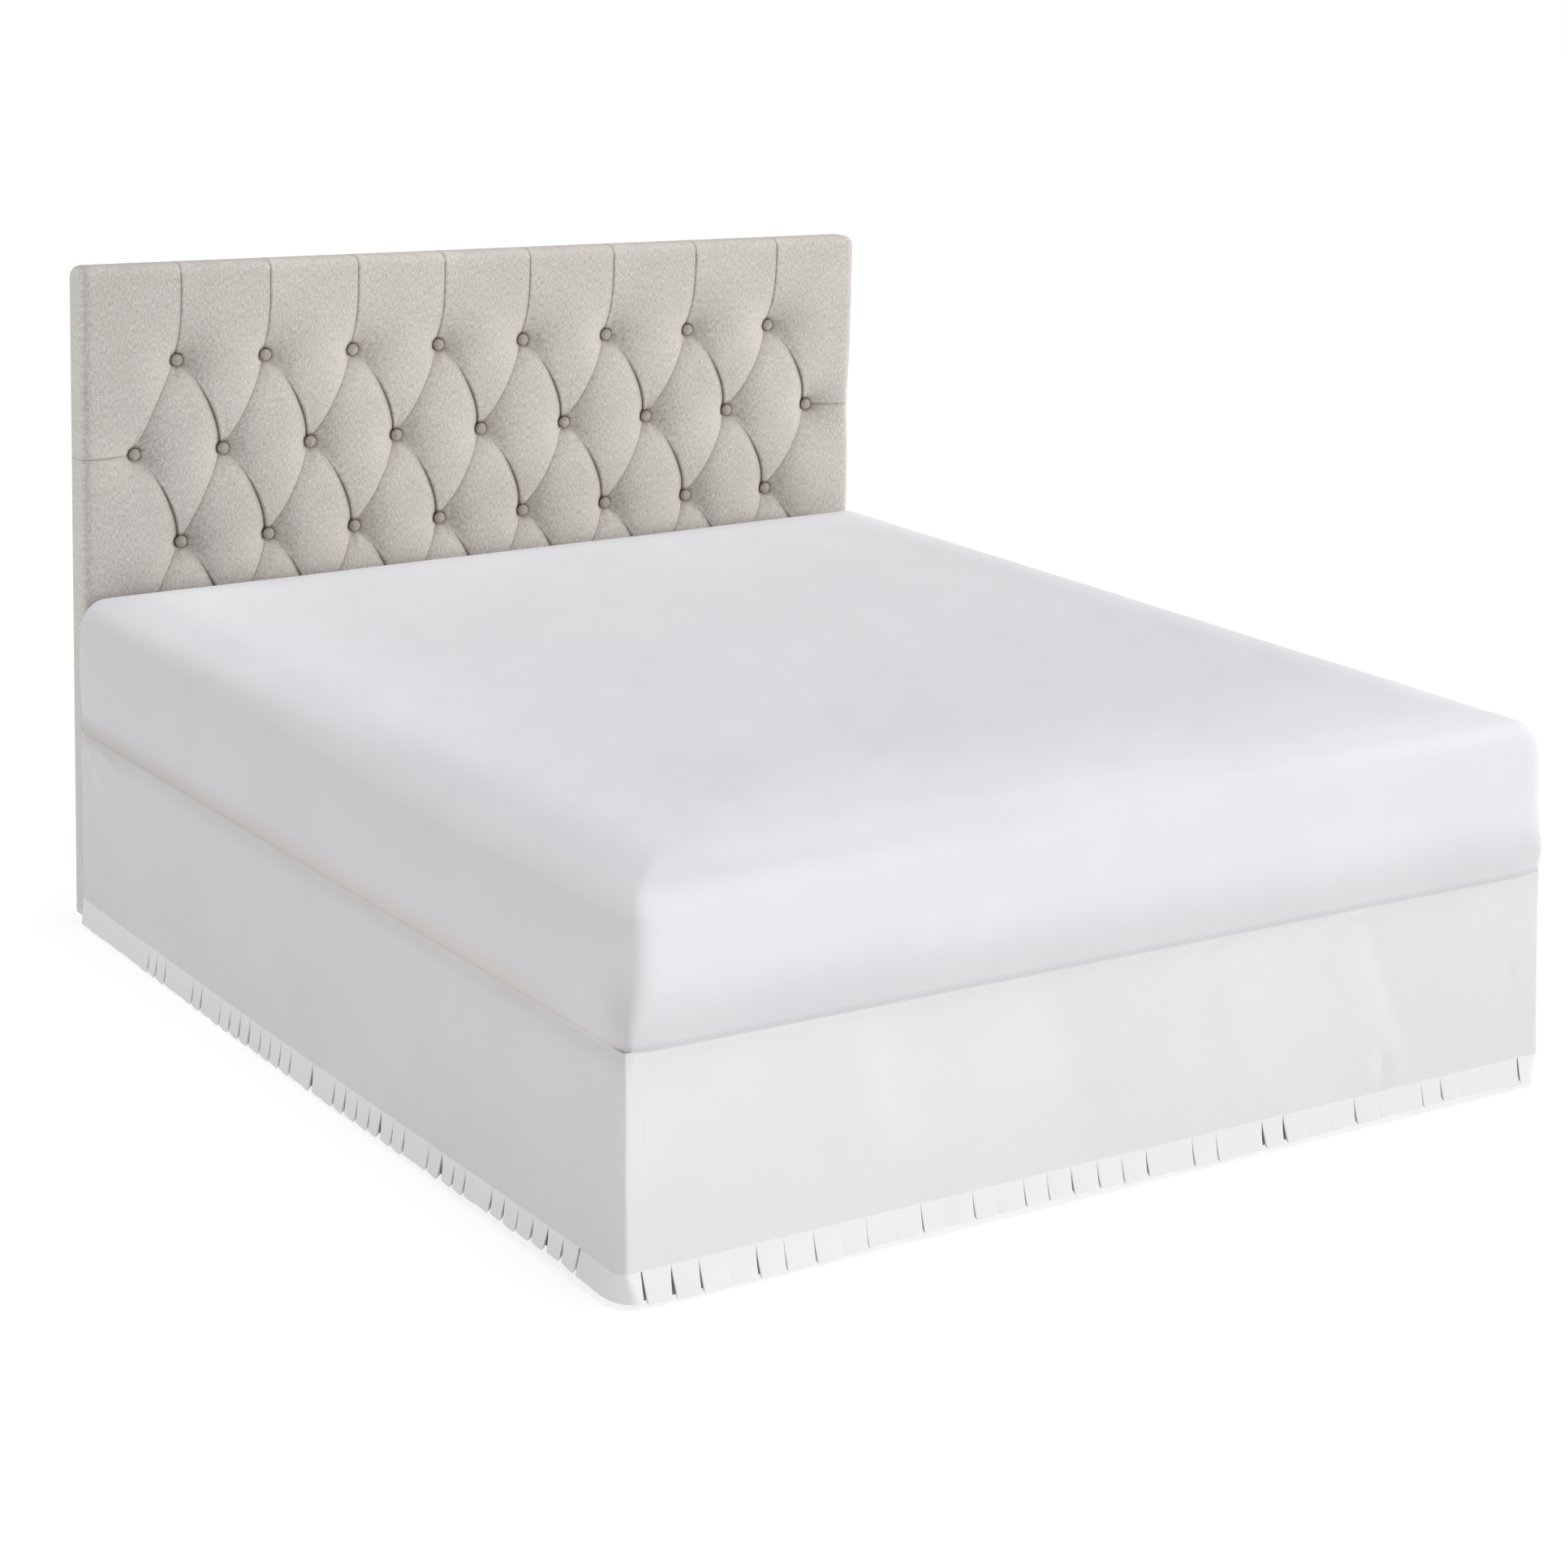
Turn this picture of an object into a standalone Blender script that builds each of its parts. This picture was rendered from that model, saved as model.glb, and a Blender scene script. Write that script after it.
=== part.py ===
"""A tailored bed skirt with a box-pleated trim, hung on a plain bed with a mattress and a headboard.

The bed's head is towards +Y and its foot towards -Y. Each side of the skirt hangs in a frame of its own:
local X runs along the edge, local Y points outwards and local Z is up. Going that way round the bed, the
right side runs from head to foot, the foot from right to left and the left side from foot to head.
"""

import math
import random
from collections import namedtuple

import bmesh
import bpy
import numpy as np

# ---- driving sizes, in metres ----
BED_W = 1.829
BED_L = 2.134
BED_Y = -0.018  # the bed's middle, so that the whole object is centred on the origin
GAP = 0.0003  # between pieces that are sewn together or rest on one another

SKIRT_TOP = 0.390
SEAM_Z = 0.053  # the seam between drop and trim
CLOTH = 0.002  # drops, flaps and bands are a doubled cloth
DECK_CLOTH = 0.0015
TRIM_CLOTH = 0.001
LAYER = CLOTH + GAP  # from the middle of one cloth to the middle of the cloth laid over it
CLEARANCE = 0.002  # from the hung cloth to the foundation's edges
SIDE_END = BED_L / 2 - 0.022  # a side drop ends here, under the corner flap
HEAD_END = BED_L / 2 - 0.007  # and here at its top, next to the headboard
HEAD_LEAN = 0.026  # its end at the head slopes back this much by the seam
DROP_CURVE = 1.2  # above 1, a drop hangs a little closer to the bed at its top
WAVELESS_END = 0.12  # no wave runs this near to a drop's end
WAVE_EASE = 0.15  # and each comes to its full depth over this length
SIDE_COLUMNS = 26
FOOT_COLUMNS = 22
DROP_ROWS = 5

FLAP_SIDE = 0.108  # how far a corner flap reaches along the bed's side
FLAP_FOOT = 0.030  # and along its foot
BAND_FOOT = 0.0255  # the band's reach there, which ends in the first slit
BAND_HEM_Z = 0.0085
BAND_LIFT = 0.0060  # the band's hem rises this much towards its end on the bed's side
DECK_CORNER = 0.024  # the deck's foot corners are cut off inside the flaps
CORNER_TOP_R = 0.004  # the corner is a crease that opens into a round one at the hem
CORNER_SEAM_R = 0.022
CORNER_HEM_R = 0.056
LEAST_FOOT = 0.002  # flat cloth left between a corner's bend and its end across the foot
LEG_STEPS = 4  # of a corner cloth, along the bed's side
BEND_STEPS = 5  # and round the corner
FLAP_ROWS = 5
BAND_ROWS = 3

FOUNDATION_H = 0.190
LEG_W = 0.060
LEG_INSET = 0.070
FOUNDATION_ROUND = 0.010
LEG_ROUND = 0.003

MATTRESS_OUT = 0.006  # how far the mattress stands out over the skirt
MATTRESS_Z = 0.672  # its crown
MATTRESS_TILT_X = 0.017  # its top rises towards the right and the head, in metres a metre
MATTRESS_TILT_Y = 0.015
TOP_INSET = 0.033  # the top's own outline lies this far inside the mattress's
TOP_DROP = 0.021  # and this far below its crown
TOP_EASE = 0.120  # the crown falls away over this width
CORNER_R = 0.045
EDGE_CROWDING = 1.7  # above 1, the top's grid lines crowd towards its edges
TOP_COLUMNS = 16
TOP_ROWS = 18

# Where the mattress's top sags: the place, how far the sag reaches each way and how deep it is.
Sag = namedtuple("Sag", "x y reach_x reach_y depth")
SIDE_SAG = Sag(-BED_W / 2, -0.45, 0.22, 0.60, 0.018)

HEADBOARD_LEFT = -0.885  # at its top; it is wider by the taper at the floor
HEADBOARD_TAPER = 0.026
HEADBOARD_RIGHT = 0.909
HEADBOARD_TOP = 1.294
HEADBOARD_FRONT = 1.0685  # from the bed's middle
HEADBOARD_T = 0.058
BUTTON_PITCH = 0.1971
BUTTON_ROW = 0.1816
FIRST_BUTTON_ROW = 1.1025
BUTTON_CENTRE = 0.0015  # of the whole pattern, from the bed's middle
TUFT_DEPTH = 0.030
FOLD_SHARE = 0.27  # how deep a fold lies halfway between two buttons, of a button's depth
FOLD_SHARPNESS = 3
HEADBOARD_EDGE_R = 0.020
ROUND_SHARE = 0.3  # a rounded edge's middle lies this share of its radius inside both faces
TUFTED_FROM = -8  # half rows of buttons, counted up from the first row
TUFTED_TO = 1

# The mattress's side, ring by ring: the share of the way down, and how far out of its full outline.
Ring = namedtuple("Ring", "down out")
MATTRESS_RINGS = (
    Ring(0.08, -0.012),
    Ring(0.20, -0.002),
    Ring(0.45, 0.002),
    Ring(0.75, 0.001),
    Ring(0.94, -0.001),
    Ring(1.00, -0.007),
)

# How a drop and its trim hang: at a place along the edge, how far the cloth stands out from the bed's
# side at the seam and at the hem, and how high the hem is above the floor.
Hang = namedtuple("Hang", "along seam_out hem_out hem_z")
HANGS = {
    "left": (
        Hang(-1.067, 0.0085, 0.0150, 0.0130),
        Hang(-0.920, 0.0085, 0.0155, 0.0165),
        Hang(-0.610, 0.0110, 0.0175, 0.0115),
        Hang(-0.330, 0.0145, 0.0210, 0.0075),
        Hang(-0.030, 0.0175, 0.0240, 0.0050),
        Hang(0.300, 0.0180, 0.0245, 0.0042),
        Hang(1.067, 0.0150, 0.0215, 0.0045),
    ),
    "foot": (
        Hang(-0.915, 0.0060, 0.0180, 0.0080),
        Hang(-0.740, 0.0060, 0.0165, 0.0120),
        Hang(-0.550, 0.0065, 0.0180, 0.0100),
        Hang(-0.210, 0.0060, 0.0180, 0.0065),
        Hang(0.150, 0.0060, 0.0180, 0.0105),
        Hang(0.450, 0.0065, 0.0180, 0.0090),
        Hang(0.590, 0.0060, 0.0200, 0.0045),
        Hang(0.800, 0.0060, 0.0210, 0.0040),
        Hang(0.915, 0.0060, 0.0160, 0.0065),
    ),
    "right": (
        Hang(-1.067, 0.0160, 0.0225, 0.0050),
        Hang(0.000, 0.0200, 0.0265, 0.0060),
        Hang(0.920, 0.0280, 0.0290, 0.0080),
        Hang(1.067, 0.0300, 0.0295, 0.0080),
    ),
}

# Shallow waves that run down a drop: where, how wide, how deep at mid height, and how far they lean
# along the edge from the top to the seam.
Wave = namedtuple("Wave", "along width depth lean")
WAVES = {
    "left": (
        Wave(0.800, 0.200, 0.0035, -0.180),
        Wave(0.350, 0.260, -0.0020, -0.100),
        Wave(-0.120, 0.220, 0.0022, -0.120),
        Wave(-0.560, 0.240, -0.0018, -0.080),
    ),
    "foot": (
        Wave(0.560, 0.240, 0.0020, 0.060),
        Wave(0.120, 0.260, -0.0020, -0.080),
        Wave(-0.250, 0.220, 0.0022, 0.100),
        Wave(-0.600, 0.160, -0.0040, -0.160),
    ),
    "right": (
        Wave(-0.700, 0.240, 0.0022, 0.120),
        Wave(-0.150, 0.260, -0.0020, -0.100),
        Wave(0.450, 0.240, 0.0022, 0.080),
    ),
}

# The pleated trims: how many pleats, between which places, and how far the slits slide off an even
# pitch about one place along the edge.
Run = namedtuple("Run", "pleats start end slide slide_at slide_width seed")
RUNS = {
    "left": Run(46, -0.951, HEAD_END - HEAD_LEAN, 0.012, -0.720, 0.180, 3),
    "foot": Run(36, -0.887, 0.887, -0.018, -0.620, 0.160, 5),
    "right": Run(46, HEAD_LEAN - HEAD_END, 0.951, 0.008, 0.300, 0.250, 8),
}
SLIT_TOP = 0.0014  # between the middles of two faces at the seam
SLIT_STRAY = 0.0025  # how far a slit may lie off its place
SWING = 0.0018  # how far out one edge of a pleat may swing at the hem
UNDER = 0.36  # of the pitch, the depth of each under-fold
FOLD_STEP = 0.0014  # from layer to layer at the seam
HEM_STEP = 0.0042  # and at the hem, where the pleats stand open
FACE_OUT = 0.0005  # a pleat's face stands this far out from the drop above it
# The least and most that an ordinary slit stands open at the hem.
SLIT_HEM = {"left": (0.0055, 0.0085), "foot": (0.0024, 0.0042), "right": (0.0055, 0.0085)}
WIDE = 0.0145
OPEN = 0.0100
AJAR = 0.0060
SHUT = 0.0016
# Slits that aren't ordinary, counted from the run's start.
ODD_SLITS = {
    "left": {
        WIDE: (2, 10, 15, 21),
        OPEN: (1, 5, 6, 27, 32),
        SHUT: (7, 12, 20, 22, 31, 34, 35, 39, 40, 41, 42, 43, 44, 45),
    },
    "foot": {
        OPEN: (11, 12, 35, 36),
        AJAR: (4, 8, 17, 20, 32, 34),
        SHUT: (1, 2, 3, 7, 9, 10, 13, 16, 23, 25, 27, 29, 33),
    },
    "right": {
        WIDE: (11, 24, 33, 41),
        OPEN: (4, 17, 29, 38),
        SHUT: (1, 2, 3, 9, 15, 22, 27, 36),
    },
}

Paint = namedtuple("Paint", "color roughness")
SKIRT_PAINT = Paint((0.83, 0.83, 0.84), 0.85)
SHEET_PAINT = Paint((0.84, 0.84, 0.86), 0.80)
LINEN_PAINT = Paint((0.60, 0.56, 0.51), 0.90)
TICKING_PAINT = Paint((0.55, 0.54, 0.52), 0.90)
WOOD_PAINT = Paint((0.16, 0.10, 0.06), 0.45)


# ---- scene ----
def clear_scene():
    for obj in list(bpy.data.objects):
        bpy.data.objects.remove(obj, do_unlink=True)


def new_collection(name):
    collection = bpy.data.collections.new(name)
    bpy.context.scene.collection.children.link(collection)
    return collection


def new_material(name, paint):
    material = bpy.data.materials.new(name)
    material.use_nodes = True
    shader = material.node_tree.nodes["Principled BSDF"]
    shader.inputs["Base Color"].default_value = (*paint.color, 1.0)
    shader.inputs["Roughness"].default_value = paint.roughness
    shader.inputs["Metallic"].default_value = 0.0
    return material


def new_empty(collection, name, parent=None, location=(0, 0, 0), turn=0.0):
    empty = bpy.data.objects.new(name, None)
    empty.parent = parent
    empty.location = location
    empty.rotation_euler.z = turn
    collection.objects.link(empty)
    return empty


def new_object(collection, name, bm, material, parent, location=(0, 0, 0)):
    bmesh.ops.recalc_face_normals(bm, faces=bm.faces)
    mesh = bpy.data.meshes.new(name)
    bm.to_mesh(mesh)
    bm.free()
    mesh.shade_smooth()
    mesh.set_sharp_from_angle(angle=math.radians(40))
    mesh.materials.append(material)
    obj = bpy.data.objects.new(name, mesh)
    obj.parent = parent
    obj.location = location
    collection.objects.link(obj)
    return obj


# ---- cloth ----
def cloth(collection, name, columns, rows, point, thickness, material, parent):
    """A sheet: a grid whose points come from point(column, row), thickened about its middle."""
    bm = bmesh.new()
    bmesh.ops.create_grid(bm, x_segments=columns, y_segments=rows, size=0.5)
    for vertex in bm.verts:
        column = round((vertex.co.x + 0.5) * columns)
        row = round((vertex.co.y + 0.5) * rows)
        vertex.co = point(column, row)
    obj = new_object(collection, name, bm, material, parent)
    solidify = obj.modifiers.new("thickness", "SOLIDIFY")
    solidify.thickness = thickness
    solidify.offset = 0.0
    solidify.use_even_offset = True
    obj.modifiers.new("normals", "WEIGHTED_NORMAL")
    return obj


def hang_at(side, along):
    """The side's Hang at one place, read between the rows of its table."""
    rows = np.array(HANGS[side])
    values = [np.interp(along, rows[:, 0], rows[:, column]) for column in (1, 2, 3)]
    return Hang(along, *values)


def wave_out(side, along, drop):
    """The shallow waves of a drop, which fade out at its top, its seam and its two ends."""
    half = (BED_W if side == "foot" else BED_L) / 2
    from_end = min(1.0, max(0.0, (half - abs(along) - WAVELESS_END) / WAVE_EASE))
    out = 0.0
    for wave in WAVES[side]:
        across = (along - wave.along - wave.lean * (drop - 0.5)) / wave.width
        out += wave.depth * math.exp(-4 * across * across)
    return out * from_end * math.sin(math.pi * drop)


def drop_out(side, along, z):
    """How far the middle of a drop's cloth stands out from the bed's side."""
    drop = (SKIRT_TOP - z) / (SKIRT_TOP - SEAM_Z)
    out = hang_at(side, along).seam_out * drop**DROP_CURVE + wave_out(side, along, drop)
    return out - CLOTH / 2


def trim_out(side, along, z):
    """The same for the trim, which kicks out a little below the seam."""
    hang = hang_at(side, along)
    fall = (SEAM_Z - z) / (SEAM_Z - hang.hem_z)
    return hang.seam_out + (hang.hem_out - hang.seam_out) * fall - CLOTH / 2


def drop_panel(collection, side, start, end, columns, material, parent):
    """One drop. Its edge lies between start and end; an end at the headboard slopes back."""

    def point(column, row):
        slope = HEAD_LEAN * row / DROP_ROWS
        left = start + (slope if start == -HEAD_END else 0.0)
        right = end - (slope if end == HEAD_END else 0.0)
        along = left + (right - left) * column / columns
        z = SKIRT_TOP + (SEAM_Z - SKIRT_TOP) * row / DROP_ROWS
        return along, drop_out(side, along, z), z

    return cloth(collection, "drop_" + side, columns, DROP_ROWS, point, CLOTH, material, parent)


def slit_places(run):
    """Where the slits between pleats lie, nearly even, with the run's two ends."""
    pitch = (run.end - run.start) / run.pleats
    chance = random.Random(run.seed)
    places = []
    for index in range(run.pleats + 1):
        along = run.start + index * pitch
        if 0 < index < run.pleats:
            off_centre = (along - run.slide_at) / run.slide_width
            along += run.slide * math.exp(-off_centre * off_centre)
            along += chance.uniform(-SLIT_STRAY, SLIT_STRAY)
        places.append(along)
    return places


PleatPoint = namedtuple("PleatPoint", "top_along top_out hem_along hem_out")

# One slit, point by point: on which side of it, at the face's edge or at the fold under the face, and
# how many layers back.
SlitPoint = namedtuple("SlitPoint", "turn folded_under layer")
SLIT = (
    SlitPoint(-1, False, 0),
    SlitPoint(-1, False, 1),
    SlitPoint(-1, True, 1),
    SlitPoint(-1, True, 2),
    SlitPoint(1, True, 2),
    SlitPoint(1, True, 1),
    SlitPoint(1, False, 1),
    SlitPoint(1, False, 0),
)


def slit_opening(side, index, chance):
    """How wide one slit stands at the hem."""
    ordinary = chance.uniform(*SLIT_HEM[side])
    for opening, indices in ODD_SLITS[side].items():
        if index in indices:
            return opening
    return ordinary


def slit_points(along, opening, under):
    """One box-pleat slit: the face folds under, back behind the slit, and out again to the next face."""
    half_top = SLIT_TOP / 2
    half_hem = opening / 2
    points = []
    for turn, folded_under, layer in SLIT:
        top = along + turn * (under if folded_under else half_top)
        hem = along + turn * (under if folded_under else half_hem)
        points.append(PleatPoint(top, -layer * FOLD_STEP, hem, -layer * HEM_STEP))
    return points


def pleat_points(side):
    """The trim's section from end to end, as PleatPoints measured from its face."""
    run = RUNS[side]
    chance = random.Random(run.seed + 100)
    places = slit_places(run)
    under = UNDER * (run.end - run.start) / run.pleats
    points = []
    for index, along in enumerate(places):
        opening = slit_opening(side, index, chance)
        swing = chance.uniform(0.0, SWING)
        slit = slit_points(along, opening, under)
        if index == 0:
            slit = slit[3:] if side != "right" else slit[7:]
        elif index == run.pleats:
            slit = slit[:5] if side != "left" else slit[:1]
        for point in slit:
            out = point.hem_out + (swing if point.hem_along < along else 0.0)
            points.append(point._replace(hem_out=out))
    return points


def pleated_trim(collection, side, material, parent):
    points = pleat_points(side)

    def point(column, row):
        pleat = points[column]
        if row == 0:
            z = SEAM_Z - GAP
            return pleat.top_along, trim_out(side, pleat.top_along, z) + FACE_OUT + pleat.top_out, z
        z = hang_at(side, pleat.hem_along).hem_z
        return pleat.hem_along, trim_out(side, pleat.hem_along, z) + FACE_OUT + pleat.hem_out, z

    columns = len(points) - 1
    return cloth(collection, "trim_" + side, columns, 1, point, TRIM_CLOTH, material, parent)


# ---- the split foot corners ----
def corner_path(turn, side_out, foot_out, radius, foot_reach):
    """The plan of a cloth bent round a foot corner. turn is -1 at the left corner and 1 at the right.

    side_out(distance) is how far it stands out from the bed's side, that far from the bed's middle.
    The bend is tighter across the foot where the cloth ends soon after the corner.
    """
    side_x = BED_W / 2 + side_out(BED_L / 2)
    foot_y = BED_L / 2 + foot_out
    start = BED_L / 2 - FLAP_SIDE
    across = min(radius, side_x - BED_W / 2 + foot_reach - LEAST_FOOT)
    path = []
    for step in range(LEG_STEPS):
        distance = start + (foot_y - radius - start) * step / LEG_STEPS
        path.append((BED_W / 2 + side_out(distance), distance))
    for step in range(BEND_STEPS + 1):
        angle = math.pi / 2 * step / BEND_STEPS
        x = side_x - across + across * math.cos(angle)
        path.append((x, foot_y - radius + radius * math.sin(angle)))
    path.append((BED_W / 2 - foot_reach, foot_y))
    return [(turn * x, -y) for x, y in path]


def corner_cloth(collection, name, turn, heights, path_at, lift, material, parent):
    """A sheet bent round a corner: path_at(z) gives its plan at one height. Its hem rises by lift
    towards its end on the bed's side."""
    paths = [path_at(z) for z in heights]

    def point(column, row):
        x, y = paths[row][column]
        rise = lift * max(0.0, (y + BED_L / 2) / FLAP_SIDE) * row / (len(heights) - 1)
        return x, y, heights[row] + rise

    columns = len(paths[0]) - 1
    return cloth(collection, name, columns, len(heights) - 1, point, CLOTH, material, parent)


def corner_flap(collection, side, turn, material, parent):
    """The flap that closes a split corner. It lies over the side's drop and butts against the foot's."""
    foot_along = -turn * (BED_W / 2 - FLAP_FOOT)

    def path_at(z):
        fall = (SKIRT_TOP - z) / (SKIRT_TOP - SEAM_Z)
        radius = CORNER_TOP_R + (CORNER_SEAM_R - CORNER_TOP_R) * fall
        foot_out = drop_out("foot", foot_along, z)
        return corner_path(
            turn, lambda distance: drop_out(side, turn * distance, z) + LAYER, foot_out, radius, FLAP_FOOT
        )

    heights = [SKIRT_TOP + (SEAM_Z - SKIRT_TOP) * row / FLAP_ROWS for row in range(FLAP_ROWS + 1)]
    return corner_cloth(collection, "flap_" + side, turn, heights, path_at, 0.0, material, parent)


def corner_band(collection, side, turn, material, parent):
    """The trim under a corner flap, left plain."""
    foot_along = -turn * (BED_W / 2 - FLAP_FOOT)
    top = SEAM_Z - GAP

    def path_at(z):
        fall = (top - z) / (top - BAND_HEM_Z)
        radius = CORNER_SEAM_R + (CORNER_HEM_R - CORNER_SEAM_R) * fall
        foot_out = trim_out("foot", foot_along, z)
        return corner_path(
            turn, lambda distance: trim_out(side, turn * distance, z) + LAYER, foot_out, radius, BAND_FOOT
        )

    heights = [top + (BAND_HEM_Z - top) * row / BAND_ROWS for row in range(BAND_ROWS + 1)]
    return corner_cloth(
        collection, "band_" + side, turn, heights, path_at, BAND_LIFT, material, parent
    )


def deck_sheet(collection, material, parent):
    """The flat cloth between mattress and foundation, which the drops are sewn to."""
    half_w = BED_W / 2 - CLOTH - GAP
    foot = BED_L / 2 - CLOTH - GAP
    head = BED_L / 2 - 2 * CLOTH
    across = (-half_w, DECK_CORNER - half_w, 0.0, half_w - DECK_CORNER, half_w)
    along = (-foot, DECK_CORNER - foot, 0.0, head - DECK_CORNER, head)
    columns, rows = len(across) - 1, len(along) - 1
    z = SKIRT_TOP - DECK_CLOTH / 2

    def point(column, row):
        x, y = across[column], along[row]
        if row == 0 and column in (0, columns):
            x -= math.copysign(DECK_CORNER * ROUND_SHARE, x)
            y += DECK_CORNER * ROUND_SHARE
        return x, y, z

    return cloth(collection, "deck", columns, rows, point, DECK_CLOTH, material, parent)


# ---- the bed ----
def block(collection, name, size, bevel, material, parent, location):
    bm = bmesh.new()
    bmesh.ops.create_cube(bm, size=1.0)
    bmesh.ops.scale(bm, vec=size, verts=bm.verts)
    obj = new_object(collection, name, bm, material, parent, location)
    rounding = obj.modifiers.new("rounding", "BEVEL")
    rounding.width = bevel
    rounding.segments = 2
    return obj


def bed_base(collection, materials, parent):
    """The foundation on six square legs, all of which stand inside the skirt."""
    inset = CLOTH + CLEARANCE
    top = SKIRT_TOP - DECK_CLOTH - GAP
    width = BED_W - 2 * inset
    foot = -(BED_L / 2 - inset)
    head = HEADBOARD_FRONT - GAP
    size = (width, head - foot, FOUNDATION_H)
    centre = (0, (head + foot) / 2, top - FOUNDATION_H / 2)
    block(collection, "foundation", size, FOUNDATION_ROUND, materials["ticking"], parent, centre)
    leg_h = top - FOUNDATION_H - GAP
    for x_name, x in (("left", -1), ("right", 1)):
        for y_name, y in (("foot", -1), ("middle", 0), ("head", 1)):
            place = (x * (width / 2 - LEG_INSET), y * (BED_L / 2 - 2 * LEG_INSET), leg_h / 2)
            name = "leg_" + x_name + "_" + y_name
            block(collection, name, (LEG_W, LEG_W, leg_h), LEG_ROUND, materials["wood"], parent, place)


def mattress_top(x, y):
    """The height of the mattress's top away from its edges, a little higher at the right and the head."""
    sag = SIDE_SAG
    far = ((x - sag.x) / sag.reach_x) ** 2 + ((y - sag.y) / sag.reach_y) ** 2
    return MATTRESS_Z + MATTRESS_TILT_X * x + MATTRESS_TILT_Y * y - sag.depth * math.exp(-far)


def toward_edges(value):
    """Moves an even grid line from -1 to 1 so that the lines crowd towards both edges."""
    return math.copysign(1 - (1 - abs(value)) ** EDGE_CROWDING, value)


def past_corner(x, y, half_w, half_l):
    """How far a point lies past the centre of its corner's arc, along X and along Y."""
    return max(0.0, abs(x) - (half_w - CORNER_R)), max(0.0, abs(y) - (half_l - CORNER_R))


def mattress_body(collection, material, parent):
    """A crowned top, a side that bulges and draws in again, and a flat underside, as one filled solid."""
    half_w = BED_W / 2 + MATTRESS_OUT
    front = -(BED_L / 2 + MATTRESS_OUT)
    back = HEADBOARD_FRONT - CLEARANCE
    middle_y = (front + back) / 2
    half_l = (back - front) / 2
    bottom = SKIRT_TOP + GAP
    bm = bmesh.new()
    bmesh.ops.create_grid(bm, x_segments=TOP_COLUMNS, y_segments=TOP_ROWS, size=1.0)
    top_w = half_w - TOP_INSET
    top_l = half_l - TOP_INSET
    for vertex in bm.verts:
        x = toward_edges(vertex.co.x) * top_w
        y = toward_edges(vertex.co.y) * top_l
        over_x, over_y = past_corner(x, y, top_w, top_l)
        reach = math.hypot(over_x, over_y)
        if over_x and over_y and reach > CORNER_R:
            x -= math.copysign(over_x * (1 - CORNER_R / reach), x)
            y -= math.copysign(over_y * (1 - CORNER_R / reach), y)
        edge = min(top_w - abs(x), top_l - abs(y))
        ease = max(0.0, 1 - edge / TOP_EASE)
        vertex.co = (x, y, mattress_top(x, y) - TOP_DROP * ease * ease)
    edges = [edge for edge in bm.edges if edge.is_boundary]
    out = -TOP_INSET
    for ring in MATTRESS_RINGS:
        made = bmesh.ops.extrude_edge_only(bm, edges=edges)["geom"]
        edges = [item for item in made if isinstance(item, bmesh.types.BMEdge)]
        for vertex in [item for item in made if isinstance(item, bmesh.types.BMVert)]:
            x, y = vertex.co.x, vertex.co.y
            over_x, over_y = past_corner(x, y, half_w + out, half_l + out)
            grow = (ring.out - out) / math.hypot(over_x, over_y)
            x += math.copysign(1.0, x) * grow * over_x
            y += math.copysign(1.0, y) * grow * over_y
            top = mattress_top(x, y) - TOP_DROP
            vertex.co = (x, y, top + (bottom - top) * ring.down)
        out = ring.out
    bmesh.ops.contextual_create(bm, geom=edges)
    return new_object(collection, "mattress", bm, material, parent, (0, middle_y, 0))


def nearness(value):
    """1 at a half-integer, falling evenly to 0 at an integer."""
    return 1 - 2 * abs(value % 1.0 - 0.5)


def tuft_depth(x, z):
    """How deep the headboard's face lies: deepest at a button, less so on the folds between buttons."""
    across = (x - BUTTON_CENTRE) / BUTTON_PITCH
    rows_down = (FIRST_BUTTON_ROW - z) / BUTTON_ROW
    if rows_down <= 0:
        fold = nearness(across)
        return TUFT_DEPTH * FOLD_SHARE * fold**FOLD_SHARPNESS
    one = nearness(across + rows_down / 2)
    other = nearness(across - rows_down / 2)
    fold = FOLD_SHARE * max(one, other) ** FOLD_SHARPNESS
    return TUFT_DEPTH * (fold + (1 - FOLD_SHARE) * (one * other) ** 2)


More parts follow.
